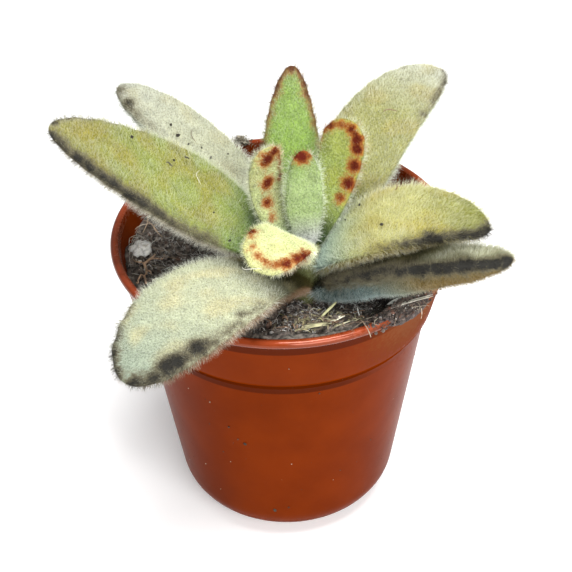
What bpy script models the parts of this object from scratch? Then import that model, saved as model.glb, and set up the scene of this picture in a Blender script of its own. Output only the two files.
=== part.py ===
"""Panda plant (Kalanchoe tomentosa) in a 55 mm plastic nursery pot.

Metres, +Z up. The origin is the centre of the pot's flat underside, so the pot
stands on z = 0. The plant stands off centre, nearer to the front wall (-Y), and
its big felted leaves lean out over the rim in crossed pairs, one pair above the
other, round a short stem.

Every leaf comes from one formula: a midrib that is an arc in space, an outline
that swells from a narrow base to a widest place and closes in a round tip, and
an almond section that is flatter above than below.
"""
import math
from dataclasses import dataclass

import bmesh
import bpy
import numpy as np
from mathutils import Matrix, Vector, noise

MM = 0.001
GAP = 0.3 * MM                      # clearance between pieces that touch

# --- pot -------------------------------------------------------------------
RIM_RADIUS = 27.5 * MM              # outside of the lip
POT_HEIGHT = 51.0 * MM
LIP_HEIGHT = 1.4 * MM
LIP_WIDTH = 1.3 * MM
LIP_OVERHANG = 0.8 * MM             # lip beyond the collar
COLLAR_BOTTOM = 39.6 * MM           # height of the step below the collar
COLLAR_BOTTOM_RADIUS = 24.2 * MM
BODY_TOP_RADIUS = 23.25 * MM        # wall just below the step
STEP_DROP = 1.3 * MM                # height of the slope between wall and collar
FOOT_RADIUS = 17.0 * MM             # where the wall's line meets the ground
FOOT_ROUND = 6.0 * MM
WALL = 0.9 * MM
FLOOR = 1.2 * MM
DRAIN_COUNT = 4
DRAIN_HEADING = math.radians(-139)
DRAIN_RADIUS = 1.9 * MM
DRAIN_REACH = (8.6 * MM, 17.5 * MM)
POT_SIDES = 60

# --- peat ------------------------------------------------------------------
PEAT_MIDDLE = 44.2 * MM             # height of the peat on the pot's axis
PEAT_SLOPE = 0.116                  # it falls towards the back (+Y)
PEAT_DISH = 5.0                     # and rises with radius squared, per metre
PEAT_CRUMB = 0.45 * MM              # height of the clods
PEAT_CRUMB_SIZE = 2.6 * MM
PEAT_SIDES = 48
PEAT_RINGS = 15

# --- stem ------------------------------------------------------------------
STEM_FOOT = Vector((4.2, -9.4, 47.2)) * MM       # where it leaves the peat
STEM_TOP = Vector((3.7, -8.1, 53.6)) * MM
STEM_RADIUS_FOOT = 3.0 * MM
STEM_RADIUS_TOP = 1.8 * MM
STEM_BURIED = 8.0 * MM
STEM_HOLE_SPARE = 1.2 * MM          # the hole goes this much deeper than the stem
STEM_SIDES = 18
STEM_RINGS = 14
KNUCKLE = 0.05                      # share of the radius between leaf scars
BUD_HEIGHT = 0.9 * MM               # low dome of the growing point
BUD_RINGS = 5

# --- leaves ------------------------------------------------------------------
BASE_GAP = 0.45 * MM                # between the stem and a leaf's base
BASE_CAP = 0.04                     # share of the length in which the base rounds off
BASE_DEPTH = 0.6                    # least depth of a leaf's base, share of its thickness
UPPER_SHARE = 0.35                  # of the thickness lies above the plane of the edges
EDGE_FULLNESS = 0.9                 # below 1 makes the edges rounder
TOOTH_DEPTH = 0.03                  # share of the half width
BIG_LEAF = 22.0                     # mm; longer leaves get the finer mesh
BIG_MESH = (25, 16)                 # sections along a leaf, points round each
SMALL_MESH = (19, 14)

# colours, linear
SAGE = (0.30, 0.34, 0.16)
SILVER = (0.42, 0.46, 0.34)
OLIVE = (0.36, 0.36, 0.12)
BRIGHT = (0.28, 0.38, 0.13)
YOUNG = (0.52, 0.50, 0.22)


@dataclass(frozen=True)
class Leaf:
    """One leaf. Angles in degrees, lengths in millimetres.

    heading is anticlockwise from +X, rise is above the level; the rise changes
    evenly from base to tip and the heading turns by sweep along the way.
    roll lifts the edge on the right hand of someone walking out to the tip.
    """
    name: str
    base_height: float
    heading: float
    rise: float
    tip_rise: float
    sweep: float
    length: float
    width: float
    thickness: float
    roll: float
    widest: float                   # share of the length
    tip_power: float                # 1.5 pointed, 2.4 blunt
    base_width: float               # share of the width
    cupping: float                  # rise of the edges, share of the half width
    teeth: int                      # blunt teeth along the outer half of each edge
    colour: tuple
    seat: float = None              # from the stem's axis; None sits on its surface


LEAVES = (
    Leaf("leaf_right_lower", base_height=48.6, heading=-36, rise=36, tip_rise=20, sweep=11,
         length=35.0, width=14.0, thickness=4.8, roll=18, widest=0.48, tip_power=2.2,
         base_width=0.50, cupping=0.06, teeth=5, colour=SAGE),
    Leaf("leaf_back_left", base_height=48.4, heading=124, rise=33, tip_rise=18, sweep=27,
         length=43.0, width=10.2, thickness=4.6, roll=-2, widest=0.63, tip_power=2.2,
         base_width=0.33, cupping=0.04, teeth=6, colour=SILVER),
    Leaf("leaf_front_left", base_height=49.8, heading=-129, rise=45, tip_rise=-28, sweep=-2,
         length=42.0, width=16.5, thickness=4.8, roll=0, widest=0.61, tip_power=2.1,
         base_width=0.29, cupping=0.06, teeth=6, colour=SILVER),
    Leaf("leaf_back_right", base_height=49.6, heading=67, rise=43, tip_rise=-8, sweep=-15,
         length=45.0, width=13.5, thickness=4.5, roll=0, widest=0.47, tip_power=2.5,
         base_width=0.33, cupping=0.07, teeth=6, colour=SAGE),
    Leaf("leaf_right_upper", base_height=52.3, heading=-7, rise=53, tip_rise=-26, sweep=10,
         length=28.5, width=15.1, thickness=4.9, roll=0, widest=0.43, tip_power=1.9,
         base_width=0.35, cupping=0.10, teeth=5, colour=OLIVE),
    Leaf("leaf_left", base_height=51.2, heading=168, rise=38, tip_rise=29, sweep=13,
         length=43.5, width=16.5, thickness=4.5, roll=6, widest=0.49, tip_power=1.6,
         base_width=0.20, cupping=0.10, teeth=6, colour=OLIVE),
    Leaf("leaf_back_centre", base_height=52.9, heading=102, rise=38, tip_rise=46, sweep=-18,
         length=29.2, width=8.6, thickness=3.2, roll=0, widest=0.60, tip_power=1.15,
         base_width=0.32, cupping=0.0, teeth=5, colour=BRIGHT),
    Leaf("leaf_inner_front", base_height=54.7, heading=-118, rise=88, tip_rise=-45, sweep=0,
         length=15.0, width=9.7, thickness=2.8, roll=8, widest=0.55, tip_power=2.5,
         base_width=0.55, cupping=0.05, teeth=3, colour=YOUNG, seat=3.6),
    Leaf("leaf_inner_left", base_height=54.5, heading=158, rise=45, tip_rise=112, sweep=-30,
         length=18.5, width=6.4, thickness=2.1, roll=8, widest=0.72, tip_power=2.5,
         base_width=0.41, cupping=-0.04, teeth=4, colour=SILVER, seat=2.2),
    Leaf("leaf_inner_right", base_height=54.5, heading=48.5, rise=45, tip_rise=73, sweep=15,
         length=19.5, width=7.9, thickness=2.4, roll=5, widest=0.75, tip_power=2.4,
         base_width=0.42, cupping=0.06, teeth=4, colour=SAGE, seat=2.2),
    Leaf("leaf_inner_centre", base_height=55.0, heading=97, rise=80, tip_rise=88, sweep=0,
         length=16.0, width=6.5, thickness=2.1, roll=0, widest=0.48, tip_power=2.0,
         base_width=0.55, cupping=0.05, teeth=4, colour=BRIGHT, seat=0.2),
)


# --- loose pieces on the peat ----------------------------------------------
@dataclass(frozen=True)
class Straw:
    """A flat chip lying on the peat. Millimetres and degrees; bow lifts its middle."""
    name: str
    place: tuple
    heading: float
    length: float
    width: float
    bow: float


STRAWS = (
    Straw("straw_long", (16.9, -15.9), 5, 6.0, 1.0, 0.5),
    Straw("straw_short", (15.2, -12.4), -60, 4.2, 0.8, 0.3),
    Straw("straw_pale", (7.2, -20.1), 35, 4.6, 1.5, 0.4),
    Straw("straw_front", (4.6, -23.1), 8, 5.4, 1.3, 0.3),
    Straw("straw_back", (13.6, 16.9), 75, 4.2, 0.8, 0.8),
    Straw("root_left", (-20.4, -6.6), -88, 7.6, 1.2, 0.6),
)
STRAW_THICKNESS = 0.7 * MM
STRAW_LIFT = 0.7 * MM               # clears the clods of the peat
STRAW_SEGMENTS = 6

PERLITE_PLACE = (-22.5, 1.9)        # mm
PERLITE_SIZE = (2.0 * MM, 1.6 * MM, 1.3 * MM)

# --- colours, linear ---------------------------------------------------------
TERRACOTTA = (0.25, 0.042, 0.010)
PEAT = (0.022, 0.014, 0.010)
BARK = (0.085, 0.085, 0.035)
PERLITE = (0.60, 0.58, 0.52)
STRAW = (0.52, 0.42, 0.24)


def clear_scene():
    """Start from an empty scene."""
    for thing in list(bpy.data.objects):
        bpy.data.objects.remove(thing, do_unlink=True)


def material(name, colour, roughness):
    """A plain Principled material."""
    made = bpy.data.materials.new(name)
    made.use_nodes = True
    shader = made.node_tree.nodes["Principled BSDF"]
    shader.inputs["Base Color"].default_value = (*colour, 1.0)
    shader.inputs["Roughness"].default_value = roughness
    shader.inputs["Metallic"].default_value = 0.0
    made.diffuse_color = (*colour, 1.0)
    return made


def add_object(name, mesh, surface):
    """Put a finished mesh into the scene under its node name."""
    made = bpy.data.objects.new(name, mesh)
    made.data.materials.append(surface)
    bpy.context.collection.objects.link(made)
    return made


def mesh_from_bmesh(name, bm, sharp_angle=40):
    """Outward faces, smooth shading with sharp creases kept."""
    bmesh.ops.recalc_face_normals(bm, faces=bm.faces)
    mesh = bpy.data.meshes.new(name)
    bm.to_mesh(mesh)
    bm.free()
    mesh.shade_smooth()
    mesh.set_sharp_from_angle(angle=math.radians(sharp_angle))
    return mesh


def skin(name, rings, sharp_angle=40):
    """Close a stack of equal rings into one body; its first and last rings are points.

    rings has the shape (rings, points, 3). The two end rings are read as poles.
    """
    bm = bmesh.new()
    loops = [[bm.verts.new(point) for point in ring] for ring in rings[1:-1]]
    first = bm.verts.new(rings[0][0])
    last = bm.verts.new(rings[-1][0])
    count = len(loops[0])
    for k in range(count):
        after = (k + 1) % count
        bm.faces.new((first, loops[0][after], loops[0][k]))
        bm.faces.new((last, loops[-1][k], loops[-1][after]))
        for low, high in zip(loops, loops[1:]):
            bm.faces.new((low[k], low[after], high[after], high[k]))
    return mesh_from_bmesh(name, bm, sharp_angle)


def turned(profile, sides):
    """Rings of a turned body from (radius, height) points, bottom centre first."""
    angle = np.linspace(0.0, 2.0 * math.pi, sides, endpoint=False)
    radius, height = np.array(profile).T
    x = radius[:, None] * np.cos(angle)
    y = radius[:, None] * np.sin(angle)
    return np.stack([x, y, np.broadcast_to(height[:, None], x.shape)], axis=-1)


def arc(centre, radius, start, end, steps):
    """Points (r, z) of an arc; angles in degrees, 0 along +r and 90 along +z."""
    angles = np.radians(np.linspace(start, end, steps + 1))
    return [(centre[0] + radius * math.cos(a), centre[1] + radius * math.sin(a)) for a in angles]


def cut(target, cutter, solver="EXACT"):
    """Take the cutter away from the target for good."""
    boolean = target.modifiers.new("cut", "BOOLEAN")
    boolean.operation = "DIFFERENCE"
    boolean.solver = solver
    boolean.object = cutter
    depsgraph = bpy.context.evaluated_depsgraph_get()
    result = bpy.data.meshes.new_from_object(target.evaluated_get(depsgraph))
    target.modifiers.clear()
    target.data = result
    result.set_sharp_from_angle(angle=math.radians(40))
    bpy.data.objects.remove(cutter, do_unlink=True)


def rod(name, start, end, radius, sides=16):
    """A straight round cutter between two points."""
    bm = bmesh.new()
    axis = end - start
    turn = Vector((0, 0, 1)).rotation_difference(axis).to_matrix().to_4x4()
    place = Matrix.Translation((start + end) / 2) @ turn
    bmesh.ops.create_cone(bm, cap_ends=True, segments=sides, radius1=radius,
                          radius2=radius, depth=axis.length, matrix=place)
    made = bpy.data.objects.new(name, mesh_from_bmesh(name, bm))
    made.hide_render = True
    made.display_type = "WIRE"
    bpy.context.collection.objects.link(made)
    return made


# --- pot ---------------------------------------------------------------------
def wall_slope():
    """Outward lean of the body wall, metres per metre of height."""
    return (BODY_TOP_RADIUS - FOOT_RADIUS) / (COLLAR_BOTTOM - STEP_DROP)


def pot_outside():
    """(radius, height) from the middle of the foot up to the top of the lip."""
    flat = FOOT_RADIUS - FOOT_ROUND
    corner = []
    for r, z in arc((flat, FOOT_ROUND), FOOT_ROUND, -90, 0, 6):
        corner.append((r + wall_slope() * z, z))
    under_lip = POT_HEIGHT - LIP_HEIGHT
    neck = RIM_RADIUS - LIP_OVERHANG
    roll = LIP_HEIGHT / 2
    lip = arc((RIM_RADIUS - roll, POT_HEIGHT - roll), roll, -60, 90, 5)
    return [(0.0, 0.0), *corner, (BODY_TOP_RADIUS, COLLAR_BOTTOM - STEP_DROP),
            (COLLAR_BOTTOM_RADIUS, COLLAR_BOTTOM),
            (neck, under_lip), *lip]


def pot_inside(inset=0.0):
    """(radius, height) from the top of the inner wall down to the floor's middle."""
    mouth = RIM_RADIUS - LIP_WIDTH - inset
    neck = RIM_RADIUS - LIP_OVERHANG - WALL - inset
    collar = COLLAR_BOTTOM_RADIUS - WALL - inset
    body = BODY_TOP_RADIUS - WALL - inset
    floor = FLOOR + inset
    round_off = FOOT_ROUND - WALL
    flat = FOOT_RADIUS - FOOT_ROUND - inset
    corner = []
    for r, z in arc((flat, floor + round_off), round_off, 0, -90, 5):
        corner.append((r + wall_slope() * z, z))
    corner[-1] = (flat, floor)
    return [(mouth, POT_HEIGHT - 0.2 * MM), (neck, POT_HEIGHT - LIP_HEIGHT),
            (collar, COLLAR_BOTTOM), (body, COLLAR_BOTTOM - STEP_DROP), *corner, (0.0, floor)]


def make_pot():
    """Turned shell with a rolled lip and arched drain notches round the foot."""
    profile = pot_outside() + pot_inside()
    pot = add_object("pot", skin("pot", turned(profile, POT_SIDES)),
                     material("terracotta_plastic", TERRACOTTA, 0.38))
    for k in range(DRAIN_COUNT):
        heading = DRAIN_HEADING + k * 2 * math.pi / DRAIN_COUNT
        way = Vector((math.cos(heading), math.sin(heading), 0.0))
        cut(pot, rod("drain", way * DRAIN_REACH[0], way * DRAIN_REACH[1], DRAIN_RADIUS))
    return pot


# --- peat --------------------------------------------------------------------
def peat_height(x, y):
    """Smooth height of the peat: dished, and higher towards the front."""
    return PEAT_MIDDLE - PEAT_SLOPE * y + PEAT_DISH * (x * x + y * y)


def clod(x, y):
    """Rough crumbs on top of the smooth height."""
    spot = Vector((x, y, 0.0)) / PEAT_CRUMB_SIZE
    return PEAT_CRUMB * noise.noise(spot)


def make_peat():
    """Filling that follows the inner wall, with a crumbly top and the stem's hole."""
    inside = pot_inside(inset=GAP)
    side = [point for point in reversed(inside) if point[1] <= COLLAR_BOTTOM]
    rings = list(turned(side, PEAT_SIDES))
    mouth, neck = inside[0][0], inside[1][0]
    collar, collar_height = inside[2]
    slope = (neck - collar) / (POT_HEIGHT - LIP_HEIGHT - collar_height)
    angle = np.linspace(0.0, 2.0 * math.pi, PEAT_SIDES, endpoint=False)
    edge = np.full(PEAT_SIDES, mouth)
    for _ in range(4):
        height = peat_height(edge * np.cos(angle), edge * np.sin(angle))
        edge = np.minimum(collar + slope * (height - collar_height), neck)
    for k in range(PEAT_RINGS + 1):
        radius = edge * (1.0 - k / PEAT_RINGS)
        x = radius * np.cos(angle)
        y = radius * np.sin(angle)
        rough = 0.0 if k == 0 else 1.0
        z = [peat_height(a, b) + rough * clod(a, b) for a, b in zip(x, y)]
        rings.append(np.stack([x, y, z], axis=-1))
    peat = add_object("peat", skin("peat", np.array(rings), 60),
                      material("peat", PEAT, 0.95))
    deep = STEM_FOOT - stem_way() * (STEM_BURIED + STEM_HOLE_SPARE)
    cut(peat, rod("stem_hole", deep, STEM_TOP, STEM_RADIUS_FOOT + GAP, STEM_SIDES))
    return peat


# --- stem --------------------------------------------------------------------
def stem_way():
    """Unit vector up the stem."""
    return (STEM_TOP - STEM_FOOT).normalized()


def stem_axis(height):
    """Point of the stem's axis at a height."""
    share = (height - STEM_FOOT.z) / (STEM_TOP.z - STEM_FOOT.z)
    return STEM_FOOT.lerp(STEM_TOP, share)


def stem_radius(height):
    """The stem thins evenly from the peat to the top pair of leaves."""
    share = (height - STEM_FOOT.z) / (STEM_TOP.z - STEM_FOOT.z)
    share = min(max(share, 0.0), 1.0)
    return STEM_RADIUS_FOOT + (STEM_RADIUS_TOP - STEM_RADIUS_FOOT) * share


def make_stem():
    """Round stem with slight knuckles, closed above by the domed growing point."""
    bottom = STEM_FOOT - stem_way() * STEM_BURIED
    rings = []
    angle = np.linspace(0.0, 2.0 * math.pi, STEM_SIDES, endpoint=False)
    circle = np.stack([np.cos(angle), np.sin(angle), np.zeros(STEM_SIDES)], axis=-1)
    rings.append(circle * 0.0 + np.array(bottom))
    for k in range(STEM_RINGS + 1):
        spot = bottom.lerp(STEM_TOP, k / STEM_RINGS)
        knuckle = 1.0 - KNUCKLE * (k % 2) * (k > STEM_RINGS / 2)
        rings.append(circle * stem_radius(spot.z) * knuckle + np.array(spot))
    for k in range(1, BUD_RINGS + 1):
        share = k / BUD_RINGS
        spot = STEM_TOP + Vector((0.0, 0.0, BUD_HEIGHT)) * share
        rings.append(circle * STEM_RADIUS_TOP * math.sqrt(1.0 - share ** 2) + np.array(spot))
    return add_object("stem", skin("stem", np.array(rings)), material("bark", BARK, 0.9))


# --- leaves ------------------------------------------------------------------
def outline(share, widest, tip_power, base_width):
    """Half width along the leaf, 1 at its widest: sine swell, then a round tip."""
    swell = base_width + (1.0 - base_width) * np.sin(np.pi / 2 * np.clip(share / widest, 0, 1))
    beyond = np.clip((share - widest) / (1.0 - widest), 0, 1)
    close = np.sqrt(np.clip(1.0 - beyond ** tip_power, 0, 1))
    cap = np.sqrt(np.clip(1.0 - (1.0 - np.clip(share / BASE_CAP, 0, 1)) ** 2, 0, 1))
    return np.where(share < widest, swell, close) * cap


def midrib(leaf, share):
    """Points (metres), headings and rises (radians) of the arc from stem to tip."""
    fine = np.linspace(0.0, 1.0, 81)
    heading = np.radians(leaf.heading + leaf.sweep * fine)
    rise = np.radians(leaf.rise + (leaf.tip_rise - leaf.rise) * fine)
    way = np.stack([np.cos(rise) * np.cos(heading),
                    np.cos(rise) * np.sin(heading), np.sin(rise)], axis=-1)
    steps = (way[1:] + way[:-1]) / 2 * leaf.length * MM / (len(fine) - 1)
    run = np.vstack([np.zeros(3), np.cumsum(steps, axis=0)])
    height = leaf.base_height * MM
    away = stem_radius(height) + BASE_GAP if leaf.seat is None else leaf.seat * MM
    start = np.array(stem_axis(height)) + away * np.array([math.cos(heading[0]),
                                                           math.sin(heading[0]), 0.0])
    point = np.stack([np.interp(share, fine, run[:, i]) for i in range(3)], axis=-1) + start
    heading = np.interp(share, fine, heading)
    rise = np.interp(share, fine, rise)
    return point, heading, rise


def leaf_rings(leaf, stations, sides):
    """Almond sections along the midrib, closer together at both ends."""
    share = 0.5 - 0.5 * np.cos(np.pi * np.linspace(0.0, 1.0, stations))
    point, heading, rise = midrib(leaf, share)
    level = np.zeros_like(heading)
    right = np.stack([np.sin(heading), -np.cos(heading), level], axis=-1)
    over = np.stack([-np.sin(rise) * np.cos(heading),
                     -np.sin(rise) * np.sin(heading), np.cos(rise)], axis=-1)
    tilt = math.radians(leaf.roll)
    across = right * math.cos(tilt) + over * math.sin(tilt)
    up = over * math.cos(tilt) - right * math.sin(tilt)

    half = outline(share, leaf.widest, leaf.tip_power, leaf.base_width) * leaf.width / 2 * MM
    outer = np.clip(share * 2.0 - 0.9, 0.0, 1.0)
    half *= 1.0 + TOOTH_DEPTH * outer * np.cos(2 * np.pi * leaf.teeth * share * 2.0)
    deep = outline(share, leaf.widest, leaf.tip_power, max(leaf.base_width, BASE_DEPTH))
    deep *= leaf.thickness * MM

    angle = np.linspace(0.0, 2.0 * math.pi, sides, endpoint=False)
    side = np.sign(np.cos(angle)) * np.abs(np.cos(angle)) ** EDGE_FULLNESS
    lift = np.where(np.sin(angle) > 0, UPPER_SHARE, 1.0 - UPPER_SHARE) * np.sin(angle)
    x = half[:, None] * side
    z = deep[:, None] * lift + leaf.cupping * half[:, None] * side ** 2
    return point[:, None] + across[:, None] * x[..., None] + up[:, None] * z[..., None]


def make_leaf(leaf):
    """One leaf node."""
    stations, sides = BIG_MESH if leaf.length > BIG_LEAF else SMALL_MESH
    rings = leaf_rings(leaf, stations, sides)
    return add_object(leaf.name, skin(leaf.name, rings, 75),
                      material(leaf.name + "_felt", leaf.colour, 0.9))


# --- loose pieces ------------------------------------------------------------
def make_straw(straw, surface):
    """A thin bowed chip, pointed at both ends, lying along the peat."""
    way = np.array([math.cos(math.radians(straw.heading)), math.sin(math.radians(straw.heading))])
    aside = np.array([-way[1], way[0]])
    place = np.array(straw.place) * MM
    rings = []
    for k in range(STRAW_SEGMENTS + 1):
        share = k / STRAW_SEGMENTS
        taper = math.sqrt(max(1.0 - (2.0 * share - 1.0) ** 2, 0.0))
        middle = place + way * (share - 0.5) * straw.length * MM
        reach = aside * straw.width / 2 * MM * taper
        low = peat_height(*middle) + STRAW_LIFT + straw.bow * MM * math.sin(math.pi * share)
        thick = STRAW_THICKNESS * taper
        rings.append([(*(middle + reach), low + thick / 2), (*middle, low + thick),
                      (*(middle - reach), low + thick / 2), (*middle, low)])
    return add_object(straw.name, skin(straw.name, np.array(rings), 60), surface)


def make_perlite():
    """A white knobbly lump of perlite resting on the peat."""
    bm = bmesh.new()
    bmesh.ops.create_icosphere(bm, subdivisions=2, radius=1.0)
    x, y = (value * MM for value in PERLITE_PLACE)
    middle = Vector((x, y, peat_height(x, y) + PERLITE_SIZE[2] + PEAT_CRUMB))
    for vert in bm.verts:
        knob = 1.0 + 0.18 * noise.noise(vert.co * 1.7)
        vert.co = middle + Vector([a * b * knob for a, b in zip(vert.co, PERLITE_SIZE)])
    return add_object("perlite_lump", mesh_from_bmesh("perlite_lump", bm, 80),
                      material("perlite", PERLITE, 0.9))


def build():
    """The whole plant and its pot."""
    clear_scene()
    make_pot()
    make_peat()
    make_stem()
    for leaf in LEAVES:
        make_leaf(leaf)
    dry = material("straw", STRAW, 0.8)
    for straw in STRAWS:
        make_straw(straw, dry)
    make_perlite()


build()
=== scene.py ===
# %% [markdown]
# # A panda plant in a small nursery pot
#
# Kalanchoe tomentosa is a succulent whose thick leaves wear a coat of short white hairs, so
# they look like felt, with chocolate marks along the outer margins. This lesson dresses a
# plain solid model of one such plant: each plain solid keeps its place and form, and a finer
# surface stands in for it. Everything is computed as whole arrays with numpy, which is quick
# and keeps each shape readable as one formula.
#
# First the imported frame is loaded. The dressed plant must not outgrow it.

# %% Load the frame
import math
from dataclasses import dataclass

import bpy
import numpy as np
from mathutils import Matrix, Vector


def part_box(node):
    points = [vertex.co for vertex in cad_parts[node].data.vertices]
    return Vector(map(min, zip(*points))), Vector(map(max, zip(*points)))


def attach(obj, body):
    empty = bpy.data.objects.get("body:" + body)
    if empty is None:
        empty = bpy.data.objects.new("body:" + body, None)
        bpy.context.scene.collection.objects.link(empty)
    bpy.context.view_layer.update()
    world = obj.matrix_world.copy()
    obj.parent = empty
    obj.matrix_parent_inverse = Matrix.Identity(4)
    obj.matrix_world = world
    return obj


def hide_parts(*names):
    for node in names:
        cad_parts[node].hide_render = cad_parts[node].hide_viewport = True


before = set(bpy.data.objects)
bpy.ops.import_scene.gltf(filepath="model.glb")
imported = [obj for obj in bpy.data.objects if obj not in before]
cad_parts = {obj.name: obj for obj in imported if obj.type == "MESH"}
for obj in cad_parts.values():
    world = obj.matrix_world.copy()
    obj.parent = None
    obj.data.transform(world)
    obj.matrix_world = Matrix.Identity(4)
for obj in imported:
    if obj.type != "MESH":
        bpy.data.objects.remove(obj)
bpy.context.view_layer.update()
MM = 0.001

# %% [markdown]
# ## Camera
#
# The plant is seen from in front and above. A camera can be turned by three angles, but here
# its axes are written out: the way back to the camera, the way to the right and the way up.
# A small roll about the line of sight then turns the last two. A long lens from a third of a
# metre keeps the pot's sides nearly parallel.

# %% Place the camera
CAMERA_RISE = math.radians(38.46)
CAMERA_ROLL = math.radians(-1.24)
CAMERA_DISTANCE = 330.0 * MM
CAMERA_TARGET = Vector((0.34, 0.0, 40.2)) * MM
SENSOR = 36.0
LENS = 127.74


def make_camera():
    """Camera matrix whose columns are right, up and back, with the roll turned in."""
    back = Vector((0.0, -math.cos(CAMERA_RISE), math.sin(CAMERA_RISE)))
    level = Vector((1.0, 0.0, 0.0))
    upright = back.cross(level)
    right = level * math.cos(CAMERA_ROLL) + upright * math.sin(CAMERA_ROLL)
    up = upright * math.cos(CAMERA_ROLL) - level * math.sin(CAMERA_ROLL)
    turn = Matrix((right, up, back)).transposed().to_4x4()
    data = bpy.data.cameras.new("camera")
    data.lens = LENS
    data.sensor_width = SENSOR
    data.clip_start = 0.01
    camera = bpy.data.objects.new("camera", data)
    camera.matrix_world = Matrix.Translation(CAMERA_TARGET + back * CAMERA_DISTANCE) @ turn
    bpy.context.collection.objects.link(camera)
    bpy.context.scene.camera = camera
    return camera


camera = make_camera()
print("camera at, mm:", [round(value / MM) for value in camera.matrix_world.translation])

# %% [markdown]
# ## Meshes from arrays
#
# Every new piece ends in the same few calls: points, the corners of its faces and one map for
# its surface go into a mesh with foreach_set, which takes a whole array at once. Colours and
# masks that follow the surface ride along as attributes of the points.

# %% Helpers that put arrays into meshes
TRIANGLES = {}              # of each piece, by its name


def unit(ways):
    """Each vector divided by its own length."""
    return ways / np.maximum(np.linalg.norm(ways, axis=-1, keepdims=True), 1e-12)


def full_turn(sides):
    """Even angles round a whole turn; the last one, which is the first again, is left out."""
    return np.linspace(0, 2 * np.pi, sides, endpoint=False)


def add_piece(name, points, faces, material, replaced=(), marks=None, uv=None, smooth=True):
    """A mesh object at the origin. faces is a list of (n, 3) or (n, 4) index arrays.

    marks holds named arrays per point: one column is a mask, three columns are a colour.
    uv has one row for each corner of each face, in the order of the faces.
    """
    mesh = bpy.data.meshes.new(name)
    corners = np.concatenate([block.ravel() for block in faces]).astype(np.int32)
    sizes = np.concatenate([np.full(len(block), block.shape[1], np.int32) for block in faces])
    mesh.vertices.add(len(points))
    mesh.vertices.foreach_set("co", np.ascontiguousarray(points, np.float32).ravel())
    mesh.loops.add(len(corners))
    mesh.loops.foreach_set("vertex_index", corners)
    mesh.polygons.add(len(sizes))
    mesh.polygons.foreach_set("loop_start", (np.cumsum(sizes) - sizes).astype(np.int32))
    mesh.polygons.foreach_set("use_smooth", np.full(len(sizes), smooth))
    mesh.update(calc_edges=True)
    for key, values in (marks or {}).items():
        if values.ndim == 1:
            layer = mesh.attributes.new(key, "FLOAT", "POINT")
            layer.data.foreach_set("value", values.astype(np.float32))
        else:
            layer = mesh.attributes.new(key, "FLOAT_COLOR", "POINT")
            full = np.concatenate([values, np.ones((len(values), 1))], axis=1)
            layer.data.foreach_set("color", full.astype(np.float32).ravel())
    if uv is not None:
        mesh.uv_layers.new(name="OFBake")
        mesh.uv_layers["OFBake"].uv.foreach_set("vector", uv.astype(np.float32).ravel())
    mesh.materials.append(material)
    piece = bpy.data.objects.new(name, mesh)
    bpy.context.collection.objects.link(piece)
    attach(piece, "root")
    if replaced:
        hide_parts(*replaced)
    TRIANGLES[name] = int((sizes - 2).sum())
    return piece


def add_litter(name, points, faces, material, tones, smooth=True):
    """A piece of many small bodies with as many points each; tones has one row for each body."""
    tone = np.repeat(tones, len(points) // len(tones), 0)
    return add_piece(name, points, faces, material, (), {"tone": tone}, None, smooth)


def closed_grid(rings, sides):
    """Faces and map of a stack of rings closed by a pole at either end.

    The points come as pole, ring after ring, pole. Ring k, place j is point 1 + k * sides + j.
    """
    ring = np.arange(rings)[:, None] * sides + 1
    here = np.arange(sides)[None, :]
    after = (here + 1) % sides
    quads = np.stack([ring[:-1] + here, ring[:-1] + after, ring[1:] + after, ring[1:] + here], -1)
    start = np.stack([np.zeros(sides, int), after[0] + 1, here[0] + 1], -1)
    last = (rings - 1) * sides + 1
    end = np.stack([np.full(sides, rings * sides + 1), last + here[0], last + after[0]], -1)
    u = np.arange(sides) / sides
    du = 1.0 / sides
    low = np.stack([u + du / 2, u + du, u], -1)
    low = np.stack([low, np.tile([0.0, 1.0, 1.0], (sides, 1)) / (rings + 1)], -1)
    high = np.stack([u + du / 2, u, u + du], -1)
    high = np.stack([high, np.tile([rings + 1.0, rings, rings], (sides, 1)) / (rings + 1)], -1)
    v = (np.arange(rings - 1)[:, None] + 1.0) / (rings + 1) + 0 * u
    dv = 1.0 / (rings + 1)
    across = np.stack([u + 0 * v, u + du + 0 * v, u + du + 0 * v, u + 0 * v], -1)
    along = np.stack([v, v, v + dv, v + dv], -1)
    body = np.stack([across, along], -1).reshape(-1, 2)
    uv = np.concatenate([low.reshape(-1, 2), body, high.reshape(-1, 2)])
    return [start, quads.reshape(-1, 4), end], uv


print("a closed grid of 3 rings by 4 places has", sum(map(len, closed_grid(3, 4)[0])), "faces")

# %% [markdown]
# ## Gentle disorder
#
# Nothing grown is smooth. A cheap smooth noise is a sum of sine waves that run in random
# directions: its size is set by the wavelengths, and the same seed always gives the same
# field, so the plant comes out alike each time.

# %% A smooth noise from sine waves
WAVES = 20                  # in one noise


def soft_noise(points, size, seed):
    """Sum of sines of way . point, with wavelengths near size, scaled to about -1 to 1."""
    rng = np.random.default_rng(seed)
    way = unit(rng.normal(size=(WAVES, 3))) * (2 * np.pi / size)
    way *= rng.uniform(0.6, 1.5, (WAVES, 1))
    start = rng.uniform(0, 2 * np.pi, WAVES)
    return np.sin(points @ way.T + start).sum(-1) / math.sqrt(WAVES)


def smooth_step(low, high, value):
    """0 below low, 1 above high, and 3t^2 - 2t^3 between them."""
    t = np.clip((value - low) / (high - low), 0, 1)
    return t * t * (3 - 2 * t)


print("noise from", soft_noise(np.random.default_rng(1).uniform(size=(999, 3)), 0.1, 2).min().round(2))

# %% [markdown]
# ## The shape of a leaf
#
# A leaf is a thick blade. Its midrib is an arc in space whose heading and rise change evenly,
# its outline swells like a sine from a narrow base to the widest place and closes in a round
# tip, and its section is an almond, flatter above than below. The same formula with other
# numbers gives all eleven leaves, so the surface is one function of the share along the leaf
# and the angle round it.

# %% Leaf measurements


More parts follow.
